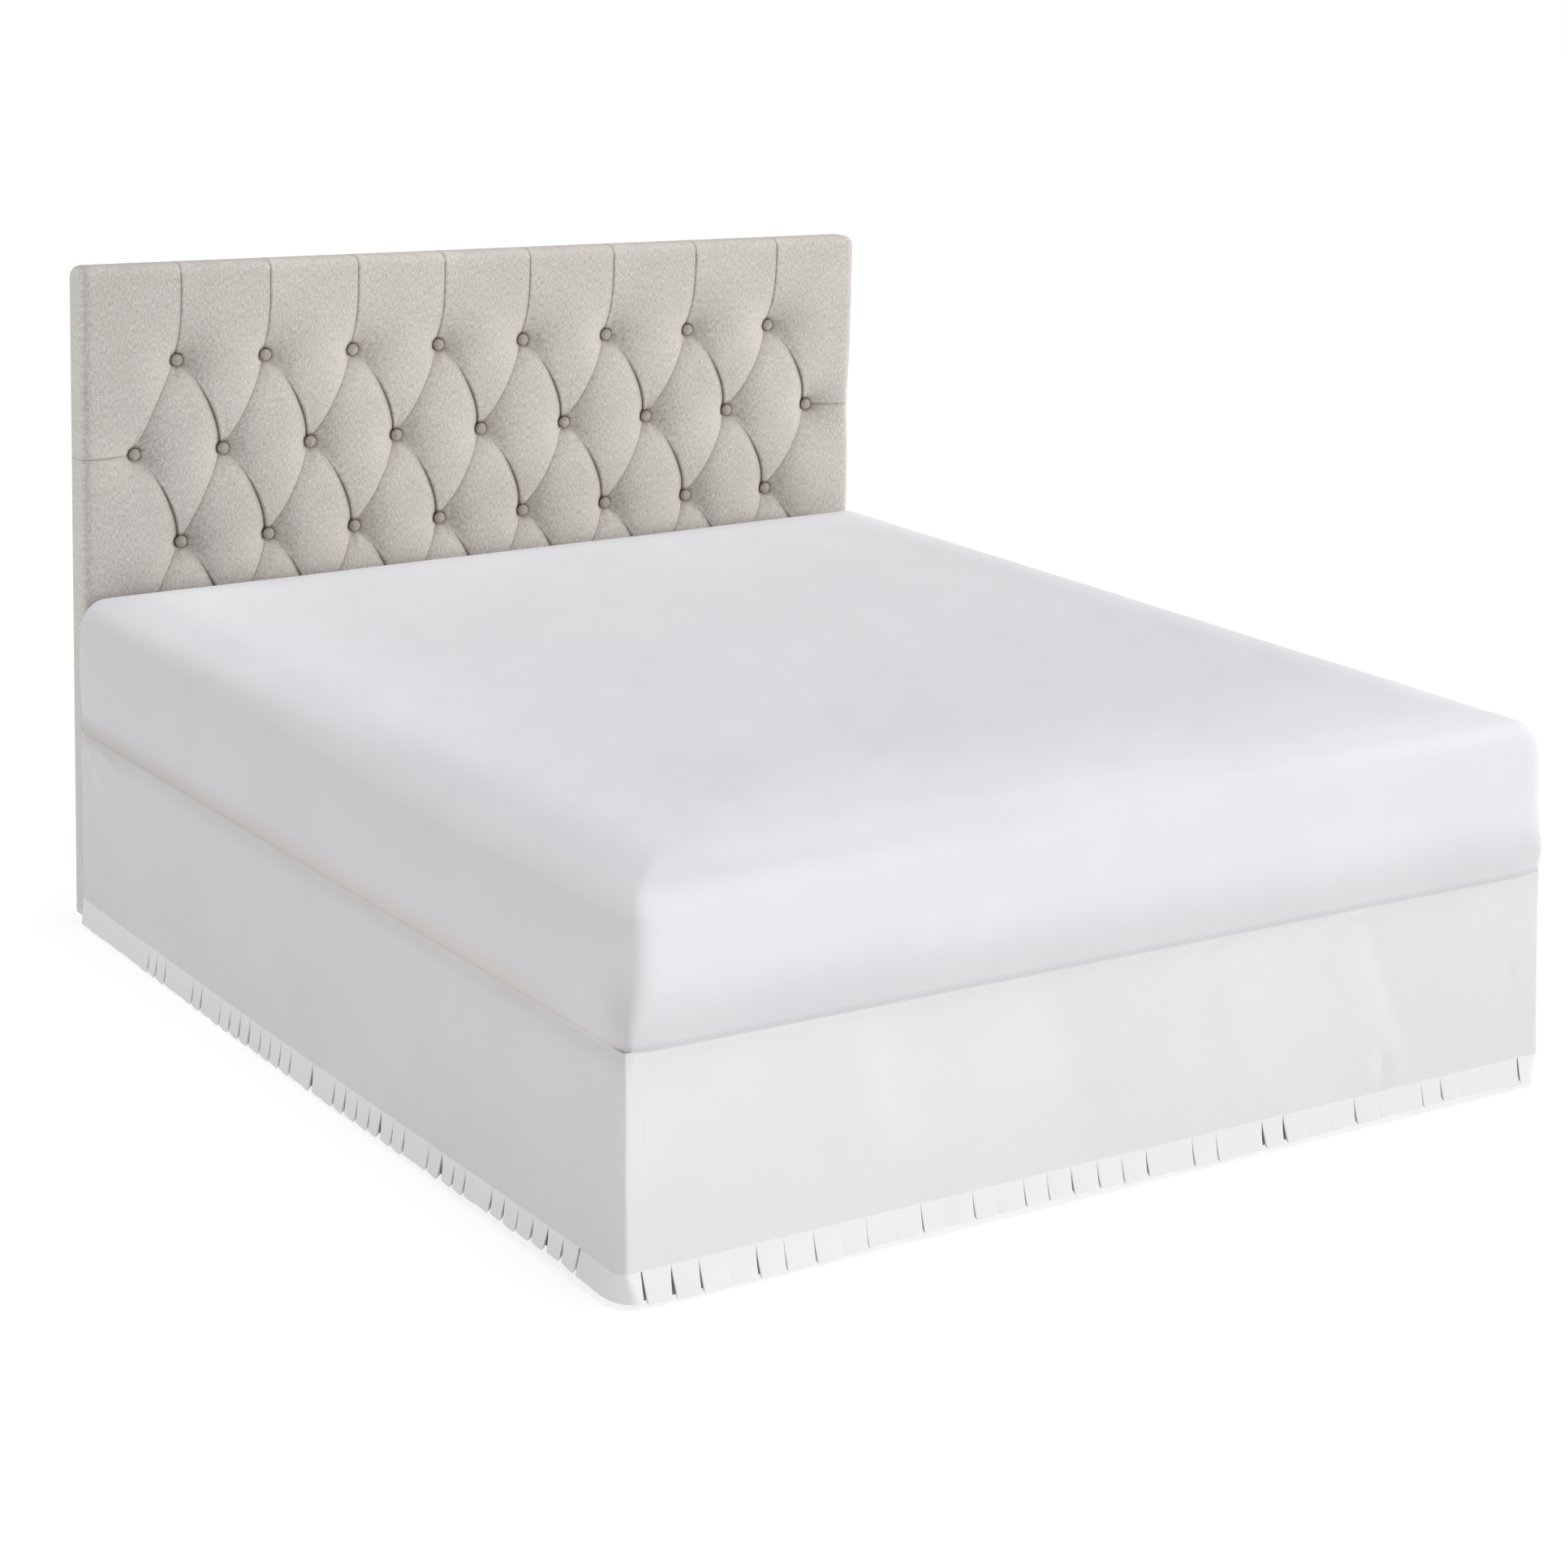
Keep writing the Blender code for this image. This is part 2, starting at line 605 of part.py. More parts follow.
def headboard(collection, material, parent):
    """An upholstered slab that stands on the floor, with a diamond-tufted face and a flat back."""
    radius = HEADBOARD_EDGE_R
    ease = radius * ROUND_SHARE
    quarter = BUTTON_PITCH / 4
    inner = int((-HEADBOARD_LEFT - 2 * radius) / quarter)
    across = [HEADBOARD_LEFT, HEADBOARD_LEFT + ease, HEADBOARD_LEFT + radius]
    across += [BUTTON_CENTRE + quarter * step for step in range(-inner, inner + 1)]
    across += [HEADBOARD_RIGHT - radius, HEADBOARD_RIGHT - ease, HEADBOARD_RIGHT]
    half_rows = range(TUFTED_FROM, TUFTED_TO + 1)
    tufted = [FIRST_BUTTON_ROW + BUTTON_ROW / 2 * step for step in half_rows]
    up = [0.0] + tufted + [HEADBOARD_TOP - radius, HEADBOARD_TOP - ease, HEADBOARD_TOP]
    bm = bmesh.new()
    columns, rows = len(across) - 1, len(up) - 1
    bmesh.ops.create_grid(bm, x_segments=columns, y_segments=rows, size=0.5)
    for vertex in bm.verts:
        column = round((vertex.co.x + 0.5) * columns)
        row = round((vertex.co.y + 0.5) * rows)
        x, z = across[column], up[row]
        depth = tuft_depth(x, z) if z >= tufted[0] else 0.0
        from_edge = min(column, columns - column, rows - row)
        if from_edge == 0:
            depth = radius
        elif from_edge == 1:
            depth = ease
        if from_edge == 0 and row == rows and column in (0, columns):
            x -= math.copysign(ease, x)
            z -= ease
        if column < 3:
            x -= HEADBOARD_TAPER * (1 - z / HEADBOARD_TOP)
        vertex.co = (x, depth, z)
    # each quad is split along its longer diagonal, which is the one that follows a fold
    bmesh.ops.triangulate(bm, faces=bm.faces[:], quad_method="LONG_EDGE")
    made = bmesh.ops.extrude_face_region(bm, geom=bm.faces[:])["geom"]
    back_verts = [item for item in made if isinstance(item, bmesh.types.BMVert)]
    back_edges = [item for item in made if isinstance(item, bmesh.types.BMEdge)]
    for vertex in back_verts:
        vertex.co.y = HEADBOARD_T
    bmesh.ops.dissolve_limit(bm, angle_limit=math.radians(1), verts=back_verts, edges=back_edges)
    return new_object(collection, "headboard", bm, material, parent, (0, HEADBOARD_FRONT, 0))


# ---- the whole ----
def main():
    clear_scene()
    collection = new_collection("bed_skirt_on_bed")
    materials = {
        "skirt": new_material("skirt_cotton", SKIRT_PAINT),
        "sheet": new_material("fitted_sheet", SHEET_PAINT),
        "linen": new_material("headboard_linen", LINEN_PAINT),
        "ticking": new_material("foundation_ticking", TICKING_PAINT),
        "wood": new_material("leg_wood", WOOD_PAINT),
    }
    bed = new_empty(collection, "bed", location=(0, BED_Y, 0))
    frames = {
        "left": new_empty(collection, "left_edge", bed, (-BED_W / 2, 0, 0), math.pi / 2),
        "foot": new_empty(collection, "foot_edge", bed, (0, -BED_L / 2, 0), math.pi),
        "right": new_empty(collection, "right_edge", bed, (BED_W / 2, 0, 0), -math.pi / 2),
    }
    skirt = materials["skirt"]
    drop_panel(collection, "left", -SIDE_END, HEAD_END, SIDE_COLUMNS, skirt, frames["left"])
    drop_panel(collection, "right", -HEAD_END, SIDE_END, SIDE_COLUMNS, skirt, frames["right"])
    foot_end = BED_W / 2 - FLAP_FOOT - GAP
    drop_panel(collection, "foot", -foot_end, foot_end, FOOT_COLUMNS, skirt, frames["foot"])
    for side in ("left", "foot", "right"):
        pleated_trim(collection, side, skirt, frames[side])
    for side, turn in (("left", -1), ("right", 1)):
        corner_flap(collection, side, turn, skirt, bed)
        corner_band(collection, side, turn, skirt, bed)
    deck_sheet(collection, skirt, bed)
    bed_base(collection, materials, bed)
    mattress_body(collection, materials["sheet"], bed)
    headboard(collection, materials["linen"], bed)


main()
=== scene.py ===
"""The looks of a bed skirt on its bed: finer cloth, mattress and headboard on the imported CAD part.

The bed's head is towards +Y and its foot towards -Y. Each side of the skirt has a frame of its own, as in
the CAD source: along its edge, outwards and up. The right side runs from head to foot, the foot from
right to left and the left side from foot to head.
"""

import math
import random
from collections import namedtuple

import bpy
import numpy as np
from mathutils import Matrix, Vector


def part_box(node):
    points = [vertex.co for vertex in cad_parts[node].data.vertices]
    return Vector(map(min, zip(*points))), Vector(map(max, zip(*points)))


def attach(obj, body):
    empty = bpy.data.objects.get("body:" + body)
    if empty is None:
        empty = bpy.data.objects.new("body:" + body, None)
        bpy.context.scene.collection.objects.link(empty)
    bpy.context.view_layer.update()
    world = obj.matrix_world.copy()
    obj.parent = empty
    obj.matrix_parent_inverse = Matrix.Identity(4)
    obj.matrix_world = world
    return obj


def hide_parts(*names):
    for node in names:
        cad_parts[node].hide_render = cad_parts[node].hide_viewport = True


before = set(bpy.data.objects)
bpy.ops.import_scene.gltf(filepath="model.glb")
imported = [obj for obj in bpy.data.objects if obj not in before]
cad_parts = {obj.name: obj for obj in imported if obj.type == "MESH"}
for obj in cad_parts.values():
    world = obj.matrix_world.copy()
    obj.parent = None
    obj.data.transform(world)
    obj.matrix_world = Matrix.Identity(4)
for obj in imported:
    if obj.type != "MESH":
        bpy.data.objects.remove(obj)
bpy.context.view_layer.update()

# ---- sizes of the CAD part, in metres ----
BED_W = 1.829
BED_L = 2.134
BED_Y = -0.018
GAP = 0.0003
SKIRT_TOP = 0.390
SEAM_Z = 0.053
CLOTH = 0.002
LAYER = CLOTH + GAP
CLEARANCE = 0.002
SIDE_END = BED_L / 2 - 0.022
HEAD_END = BED_L / 2 - 0.007
HEAD_LEAN = 0.026
DROP_CURVE = 1.2
WAVELESS_END = 0.12
WAVE_EASE = 0.15
FLAP_SIDE = 0.108
FLAP_FOOT = 0.030
BAND_FOOT = 0.0255
BAND_HEM_Z = 0.0085
BAND_LIFT = 0.0060
CORNER_TOP_R = 0.004
CORNER_SEAM_R = 0.022
CORNER_HEM_R = 0.056
MATTRESS_OUT = 0.006
MATTRESS_Z = 0.672
MATTRESS_TILT_X = 0.017
MATTRESS_TILT_Y = 0.015
CORNER_R = 0.045
HEADBOARD_LEFT = -0.885
HEADBOARD_TAPER = 0.026
HEADBOARD_RIGHT = 0.909
HEADBOARD_TOP = 1.294
HEADBOARD_FRONT = 1.0685
HEADBOARD_T = 0.058
BUTTON_PITCH = 0.1971
BUTTON_ROW = 0.1816
FIRST_BUTTON_ROW = 1.1025

Sag = namedtuple("Sag", "x y reach_x reach_y depth")
SIDE_SAG = Sag(-BED_W / 2, -0.45, 0.22, 0.60, 0.018)

Hang = namedtuple("Hang", "along seam_out hem_out hem_z")
HANGS = {
    "left": (
        Hang(-1.067, 0.0085, 0.015, 0.013),
        Hang(-0.92, 0.0085, 0.0155, 0.0165),
        Hang(-0.61, 0.011, 0.0175, 0.0115),
        Hang(-0.33, 0.0145, 0.021, 0.0075),
        Hang(-0.03, 0.0175, 0.024, 0.005),
        Hang(0.3, 0.018, 0.0245, 0.0042),
        Hang(1.067, 0.015, 0.0215, 0.0045),
    ),
    "foot": (
        Hang(-0.915, 0.006, 0.018, 0.008),
        Hang(-0.74, 0.006, 0.0165, 0.012),
        Hang(-0.55, 0.0065, 0.018, 0.01),
        Hang(-0.21, 0.006, 0.018, 0.0065),
        Hang(0.15, 0.006, 0.018, 0.0105),
        Hang(0.45, 0.0065, 0.018, 0.009),
        Hang(0.59, 0.006, 0.02, 0.0045),
        Hang(0.8, 0.006, 0.021, 0.004),
        Hang(0.915, 0.006, 0.016, 0.0065),
    ),
    "right": (
        Hang(-1.067, 0.016, 0.0225, 0.005),
        Hang(0.0, 0.02, 0.0265, 0.006),
        Hang(0.92, 0.028, 0.029, 0.008),
        Hang(1.067, 0.03, 0.0295, 0.008),
    ),
}

Wave = namedtuple("Wave", "along width depth lean")
WAVES = {
    "left": (
        Wave(0.8, 0.2, 0.0035, -0.18),
        Wave(0.35, 0.26, -0.002, -0.1),
        Wave(-0.12, 0.22, 0.0022, -0.12),
        Wave(-0.56, 0.24, -0.0018, -0.08),
    ),
    "foot": (
        Wave(0.56, 0.24, 0.002, 0.06),
        Wave(0.12, 0.26, -0.002, -0.08),
        Wave(-0.25, 0.22, 0.0022, 0.1),
        Wave(-0.6, 0.16, -0.004, -0.16),
    ),
    "right": (
        Wave(-0.7, 0.24, 0.0022, 0.12),
        Wave(-0.15, 0.26, -0.002, -0.1),
        Wave(0.45, 0.24, 0.0022, 0.08),
    ),
}

Run = namedtuple("Run", "pleats start end slide slide_at slide_width seed")
RUNS = {
    "left": Run(46, -0.951, HEAD_END - HEAD_LEAN, 0.012, -0.720, 0.180, 3),
    "foot": Run(36, -0.887, 0.887, -0.018, -0.620, 0.160, 5),
    "right": Run(46, HEAD_LEAN - HEAD_END, 0.951, 0.008, 0.300, 0.250, 8),
}
SLIT_TOP = 0.0014
SLIT_STRAY = 0.0025
SWING = 0.0018
DIPS = {"left": (0.0012, 0.0034), "foot": (-0.0004, 0.0008), "right": (0.0004, 0.0020)}
UNDER = 0.36
FOLD_STEP = 0.0014
HEM_STEP = 0.0042
FOLD_ROUND = 0.0010  # twice the radius of a pressed fold
FACE_OUT = 0.0007
SEAM_LAP = 0.0010  # the trim's sewn top edge lies this far up over the drop
SLIT_HEM = {"left": (0.0062, 0.0092), "foot": (0.0024, 0.0042), "right": (0.0062, 0.0092)}
WIDE = 0.0155
OPEN = 0.0100
AJAR = 0.0060
SHUT = 0.0004
SHUT_CALM = 0.25  # of the other slits' swing, dip and painted shade
ODD_SLITS = {
    "left": {
        WIDE: (2, 10, 15, 21),
        OPEN: (1, 5, 6, 27, 32),
        SHUT: (7, 12, 20, 22, 31, 34, 35, 39, 40, 41, 42, 43, 44, 45),
    },
    "foot": {
        OPEN: (11, 12, 35, 36),
        AJAR: (4, 8, 17, 20, 32, 34),
        SHUT: (1, 2, 3, 6, 7, 9, 10, 13, 16, 23, 25, 27, 29, 33),
    },
    "right": {
        WIDE: (11, 24, 33, 41),
        OPEN: (4, 17, 29, 38),
        SHUT: (1, 2, 3, 9, 15, 22, 27, 36),
    },
}

# ---- finer creases that only the looks have ----
# A soft ridge (or, below zero, a trough) between two places on a drop, each given along the edge and up.
Crease = namedtuple("Crease", "along z to_along to_z width height")
CREASES = {
    "left": (
        Crease(1.05, 0.383, 0.88, 0.265, 0.01, 0.0016),
        Crease(1.045, 0.36, 0.93, 0.17, 0.012, -0.0014),
        Crease(1.05, 0.388, 0.76, 0.33, 0.012, 0.0012),
        Crease(1.04, 0.33, 0.985, 0.11, 0.01, 0.0012),
        Crease(0.52, 0.385, 0.3, 0.09, 0.034, 0.0011),
        Crease(0.18, 0.385, -0.06, 0.08, 0.03, -0.001),
        Crease(-0.22, 0.38, -0.43, 0.075, 0.036, 0.0011),
        Crease(-0.64, 0.38, -0.76, 0.07, 0.028, -0.0009),
        Crease(-0.9, 0.37, -0.86, 0.08, 0.02, 0.0008),
    ),
    "foot": (
        Crease(-0.5, 0.385, -0.64, 0.08, 0.018, -0.0018),
        Crease(-0.56, 0.12, -0.575, 0.058, 0.016, -0.003),
        Crease(-0.54, 0.388, -0.43, 0.36, 0.01, -0.0012),
        Crease(-0.215, 0.388, -0.13, 0.355, 0.012, -0.001),
        Crease(0.69, 0.388, 0.59, 0.362, 0.012, -0.001),
        Crease(-0.18, 0.38, -0.28, 0.07, 0.03, 0.001),
        Crease(0.18, 0.385, 0.06, 0.07, 0.032, -0.001),
        Crease(0.52, 0.38, 0.43, 0.07, 0.03, 0.001),
        Crease(-0.85, 0.24, -0.868, 0.18, 0.005, -0.0012),
    ),
    "right": (
        Crease(-0.7, 0.385, -0.56, 0.08, 0.03, 0.001),
        Crease(0.1, 0.385, 0.22, 0.08, 0.034, -0.001),
        Crease(0.6, 0.385, 0.7, 0.08, 0.03, 0.001),
    ),
}
DROP_UNEVEN = ((0.00035, 0.16, 0), (0.00012, 0.05, 20))  # heights, sizes and seeds of slight bumps
EDGE_FADE = 0.02  # how far from a drop's top and seam its creases and bumps are full
FOOT_END = BED_W / 2 - FLAP_FOOT - GAP
DROPS = {  # start, end and columns of the mesh
    "left": (-SIDE_END, HEAD_END, 300),
    "right": (-HEAD_END, SIDE_END, 300),
    "foot": (-FOOT_END, FOOT_END, 260),
}
DROP_ROWS = 56


# ---- helpers ----
CLOTH_T = 0.0018  # of a doubled cloth
EDGE_SOFTNESS = 0.3  # of a sheet's thickness


def smooth_step(value, low, high):
    share = np.clip((np.asarray(value, float) - low) / (high - low), 0.0, 1.0)
    return share * share * (3 - 2 * share)


def ripples(x, y, size, seed, count=14):
    """A soft random relief between about -1 and 1, whose bumps are roughly size apart."""
    chance = random.Random(seed)
    total = np.zeros(np.broadcast(x, y).shape)
    for _ in range(count):
        angle = chance.uniform(0, 2 * math.pi)
        wave = 2 * math.pi / (size * chance.uniform(0.7, 1.6))
        phase = chance.uniform(0, 2 * math.pi)
        total += np.sin(wave * (x * math.cos(angle) + y * math.sin(angle)) + phase)
    return total / math.sqrt(2.0 * count)


def grid_faces(rows, columns):
    index = np.arange(rows * columns).reshape(rows, columns)
    quads = (index[:-1, :-1], index[:-1, 1:], index[1:, 1:], index[1:, :-1])
    return np.stack([quad.ravel() for quad in quads], axis=1)


def add_mesh(name, points, faces, material):
    mesh = bpy.data.meshes.new(name)
    mesh.from_pydata(np.asarray(points, float).tolist(), [], [list(map(int, f)) for f in faces])
    mesh.materials.append(material)
    mesh.shade_smooth()
    obj = bpy.data.objects.new(name, mesh)
    bpy.context.scene.collection.objects.link(obj)
    return obj


def add_sheet(name, points, thickness, material):
    """A sheet from rows of points, thickened about its middle, with softened edges."""
    rows, columns = points.shape[:2]
    obj = add_mesh(name, points.reshape(-1, 3), grid_faces(rows, columns), material)
    solidify = obj.modifiers.new("thickness", "SOLIDIFY")
    solidify.thickness = thickness
    solidify.offset = 0.0
    solidify.use_even_offset = True
    edges = obj.modifiers.new("soft_edges", "BEVEL")
    edges.width = thickness * EDGE_SOFTNESS
    edges.segments = 2
    edges.limit_method = "ANGLE"
    edges.angle_limit = math.radians(50)
    edges.harden_normals = True
    return obj


def add_values(obj, name, values):
    """One value for each point of a mesh, for its material to read."""
    attribute = obj.data.attributes.new(name, "FLOAT", "POINT")
    attribute.data.foreach_set("value", np.asarray(values, np.float32))


def in_place(side, along, out, z):
    """Points of a side's own frame in the row frame."""
    along, out, z = np.broadcast_arrays(along, out, z)
    if side == "left":
        return np.stack([-BED_W / 2 - out, BED_Y + along, z], axis=-1)
    if side == "right":
        return np.stack([BED_W / 2 + out, BED_Y - along, z], axis=-1)
    return np.stack([-along, BED_Y - BED_L / 2 - out, z], axis=-1)


# ---- how the skirt hangs, as in the CAD source ----
def hang_at(side, along):
    rows = np.array(HANGS[side])
    return [np.interp(along, rows[:, 0], rows[:, column]) for column in (1, 2, 3)]


def wave_out(side, along, drop):
    half = (BED_W if side == "foot" else BED_L) / 2
    from_end = np.clip((half - np.abs(along) - WAVELESS_END) / WAVE_EASE, 0.0, 1.0)
    out = 0.0
    for wave in WAVES[side]:
        across = (along - wave.along - wave.lean * (drop - 0.5)) / wave.width
        out = out + wave.depth * np.exp(-4 * across * across)
    return out * from_end * np.sin(math.pi * drop)


def drop_out(side, along, z):
    drop = (SKIRT_TOP - z) / (SKIRT_TOP - SEAM_Z)
    seam_out = hang_at(side, along)[0]
    return seam_out * np.maximum(drop, 0.0) ** DROP_CURVE + wave_out(side, along, drop) - CLOTH / 2


def trim_out(side, along, z):
    seam_out, hem_out, hem_z = hang_at(side, along)
    fall = (SEAM_Z - z) / (SEAM_Z - hem_z)
    return seam_out + (hem_out - seam_out) * fall - CLOTH / 2


def crease_out(side, along, z):
    """The finer creases and the slight unevenness of a hung drop, which fade out at its edges."""
    out = np.zeros(np.broadcast(along, z).shape)
    for crease in CREASES[side]:
        run = np.array([crease.to_along - crease.along, crease.to_z - crease.z])
        length = float(np.hypot(*run))
        run /= length
        step_along, step_z = along - crease.along, z - crease.z
        on = np.clip((step_along * run[0] + step_z * run[1]) / length, 0.0, 1.0)
        away = np.hypot(step_along - run[0] * on * length, step_z - run[1] * on * length)
        taper = np.sin(math.pi * np.clip(0.12 + 0.88 * on, 0, 1)) ** 0.7
        out += crease.height * taper * np.exp(-((away / crease.width) ** 2))
    for height, size, seed in DROP_UNEVEN:
        out += height * ripples(along, z, size, len(side) + seed)
    return out * smooth_step(SKIRT_TOP - z, 0.0, EDGE_FADE) * smooth_step(z - SEAM_Z, 0.0, EDGE_FADE)


def make_drop(side, material):
    start, end, columns = DROPS[side]
    share_along = np.linspace(0, 1, columns + 1)[None, :]
    share_down = np.linspace(0, 1, DROP_ROWS + 1)[:, None]
    slope = HEAD_LEAN * share_down
    left = start + (slope if start == -HEAD_END else 0.0)
    right = end - (slope if end == HEAD_END else 0.0)
    along = left + (right - left) * share_along
    z = SKIRT_TOP + (SEAM_Z - SKIRT_TOP) * share_down + 0 * along
    out = drop_out(side, along, z) + crease_out(side, along, z)
    return add_sheet("skirt_" + side, in_place(side, along, out, z), CLOTH_T, material)


# ---- the deck, whose foot corners show past the mattress's round ones ----
DECK_GRID = 60
DECK_CORNER_R = 0.006
DECK_REACH = 0.0026  # its foot corners reach the flaps round them


def make_deck(material):
    low, high = (Vector(corner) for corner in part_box("deck"))
    across = np.sin(np.linspace(-0.5, 0.5, DECK_GRID + 1) * math.pi)
    low -= Vector((DECK_REACH, DECK_REACH, 0))
    high += Vector((DECK_REACH, 0, 0))
    half_w, half_l = (high.x - low.x) / 2, (high.y - low.y) / 2
    x, y = np.meshgrid(across * half_w, across * half_l)
    over_x = np.maximum(0.0, np.abs(x) - half_w + DECK_CORNER_R)
    over_y = np.maximum(0.0, np.abs(y) - half_l + DECK_CORNER_R) * (y < 0)
    reach = np.maximum(np.hypot(over_x, over_y), 1e-9)
    pull = 1 - np.maximum(over_x, over_y) / reach
    x = (low.x + high.x) / 2 + x - np.sign(x) * over_x * pull
    y = (low.y + high.y) / 2 + y - np.sign(y) * over_y * pull
    z = np.full(x.shape, (low.z + high.z) / 2)
    return add_sheet("skirt_deck", np.stack([x, y, z], axis=-1), high.z - low.z, material)


# ---- the pleated trim ----
def slit_places(run):
    pitch = (run.end - run.start) / run.pleats
    chance = random.Random(run.seed)
    places = []
    for index in range(run.pleats + 1):
        along = run.start + index * pitch
        if 0 < index < run.pleats:
            off_centre = (along - run.slide_at) / run.slide_width
            along += run.slide * math.exp(-off_centre * off_centre)
            along += chance.uniform(-SLIT_STRAY, SLIT_STRAY)
        places.append(along)
    return places


def slit_opening(side, index, chance):
    ordinary = chance.uniform(*SLIT_HEM[side])
    for opening, indices in ODD_SLITS[side].items():
        if index in indices:
            return opening
    return ordinary


# One column of the trim: where it is along the edge and how far out from the face, at seam and at hem,
# how far its hem is off the side's own hem height, and its painted shade where it lies tucked in behind
# the faces.
Column = namedtuple("Column", "top_along top_out hem_along hem_out hem_lift tucked")
TURN_STEPS = 4  # in each rounded fold
HALF_SLIT = 2 * (TURN_STEPS + 1)  # columns from one face to the middle of a slit
FACE_SHARES = (0.008, 0.03, 0.1, 0.3, 0.5, 0.7, 0.9, 0.97, 0.992)  # columns across a pleat's face
FACE_BOW = (0.0001, 0.0007)  # how far a pleat's face may stand out in its middle, and hang down
FACE_DROOP = (-0.0006, 0.0010)
TRIM_ROWS = 9
TRIM_KICK = 0.0010  # how far its middle height lies in from a straight fall
TRIM_T = 0.0009
UNDER_LIFT = 0.0028  # the under-folds' hem is this much higher than the faces'


def slit_columns(along, opening, under, swings, dips):
    """The columns of one box-pleat slit, from the end of one face to the start of the next.
    swings and dips say how far those two hem corners hang outwards and down."""
    # a shut slit takes less painted shade inside
    painted_shade_share = SHUT_CALM if opening <= SHUT else 1.0
    # to the slit's middle: (which fold, layers behind the face, how far the fold's round reaches)
    half = []
    for fold in (0, 1):
        for step in range(TURN_STEPS + 1):
            angle = math.pi * step / TURN_STEPS
            rounding = (1 - 2 * fold) * math.sin(angle) / 2 * FOLD_ROUND
            half.append((fold, fold + (1 - math.cos(angle)) / 2, rounding))
    columns = []
    for turn, order in ((-1, half), (1, half[::-1])):
        swing, dip = swings[turn > 0], dips[turn > 0]
        for fold, layer, rounding in order:
            top, hem = (under, under) if fold else (min(SLIT_TOP, opening) / 2, opening / 2)
            on_face, behind = max(0.0, 1 - layer), min(1.0, layer)
            columns.append(
                Column(
                    along + turn * (top - rounding),
                    -layer * FOLD_STEP,
                    along + turn * (hem - rounding),
                    swing * on_face - layer * HEM_STEP,
                    UNDER_LIFT * behind - dip * on_face,
                    painted_shade_share * behind,
                )
            )
    return columns


def trim_slits(side, run):
    """The columns of each slit of a trim, in order along its edge. The first and last are halves."""
    chance = random.Random(run.seed + 100)
    under = UNDER * (run.end - run.start) / run.pleats
    slits = []
    for index, along in enumerate(slit_places(run)):
        opening = slit_opening(side, index, chance)
        calm = SHUT_CALM if opening <= SHUT else 1.0
        swing = calm * chance.uniform(0.0, SWING)
        dip = calm * chance.uniform(*DIPS[side])
        corners = ((0.0, swing), (0.0, dip)) if side == "left" else ((swing, 0.0), (dip, 0.0))
        slit = slit_columns(along, opening, under, *corners)
        if index == 0:
            slit = slit[HALF_SLIT - TURN_STEPS :] if side != "right" else slit[-1:]
        elif index == run.pleats:
            slit = slit[: HALF_SLIT + TURN_STEPS] if side != "left" else slit[:1]
        slits.append(slit)
    return slits


def trim_columns(side):
    """All the columns of one trim, in order along the edge."""
    run = RUNS[side]
    slits = trim_slits(side, run)
    bows = random.Random(run.seed + 200)
    columns = list(slits[0])
    for before, after in zip(slits, slits[1:]):
        first, last = np.array(before[-1]), np.array(after[0])
        bow = bows.uniform(*FACE_BOW)
        droop = bows.uniform(*FACE_DROOP)
        for share in FACE_SHARES:
            arch = math.sin(math.pi * share)
            face = Column(*(first * (1 - share) + last * share))
            columns.append(
                face._replace(
                    top_out=0.25 * bow * arch,
                    hem_out=face.hem_out + bow * arch,
                    hem_lift=face.hem_lift - droop * arch,
                    tucked=0.0,
                )
            )
        columns.extend(after)
    return columns


def make_trim(side, material):
    top_along, top_out, hem_along, hem_out, hem_lift, tucked = np.array(trim_columns(side)).T
    down = np.linspace(0, 1, TRIM_ROWS + 1)[:, None]
    along = top_along + (hem_along - top_along) * down
    top_z = SEAM_Z + SEAM_LAP
    z = top_z + (hang_at(side, hem_along)[2] + hem_lift - top_z) * down
    step_out = top_out + (hem_out - top_out) * down - TRIM_KICK * np.sin(math.pi * down)
    out = trim_out(side, along, z) + FACE_OUT + step_out
    obj = add_sheet("trim_pleats_" + side, in_place(side, along, out, z), TRIM_T, material)
    # painted shade inside the pleats, where the cloth lies tucked behind the faces
    add_values(obj, "tucked", np.broadcast_to(tucked, along.shape).ravel())
    return obj


# ---- the split foot corners ----
LEG_STEPS = 14
BEND_STEPS = 10
FOOT_STEPS = 4
LEAST_FOOT = 0.002  # flat cloth left between the bend and the end across the foot
FLAP_LAP = 0.0040  # the flap's sewn end lies over the foot drop's, pressed all but flush
SEAM_PROUD = 0.00006
CRISPNESS = 0.7  # of a corner's bend, how far it reaches across the foot
# A cloth round a foot corner: how its side hangs, its rows, its top and hem, the bend's radius at both,
# how far it stands out of the foot's and the side's cloth, its reach across the foot, its hem's lift away
# from the corner and how soft it is.
Corner = namedtuple("Corner", "name out rows top hem top_r hem_r foot_proud side_proud reach lift soft")
FLAP = Corner(
    "skirt_corner_",
    drop_out,
    34,
    SKIRT_TOP,
    SEAM_Z,
    CORNER_TOP_R,
    CORNER_SEAM_R,
    SEAM_PROUD,
    LAYER,
    FLAP_FOOT + FLAP_LAP,
    0.0,
    0.0006,
)
BAND = Corner(
    "trim_corner_",
    trim_out,
    9,
    SEAM_Z + SEAM_LAP,
    BAND_HEM_Z,
    CORNER_SEAM_R,
    CORNER_HEM_R,
    FACE_OUT / 2,
    LAYER + FACE_OUT / 2,
    BAND_FOOT,
    BAND_LIFT,
    0.0,
)


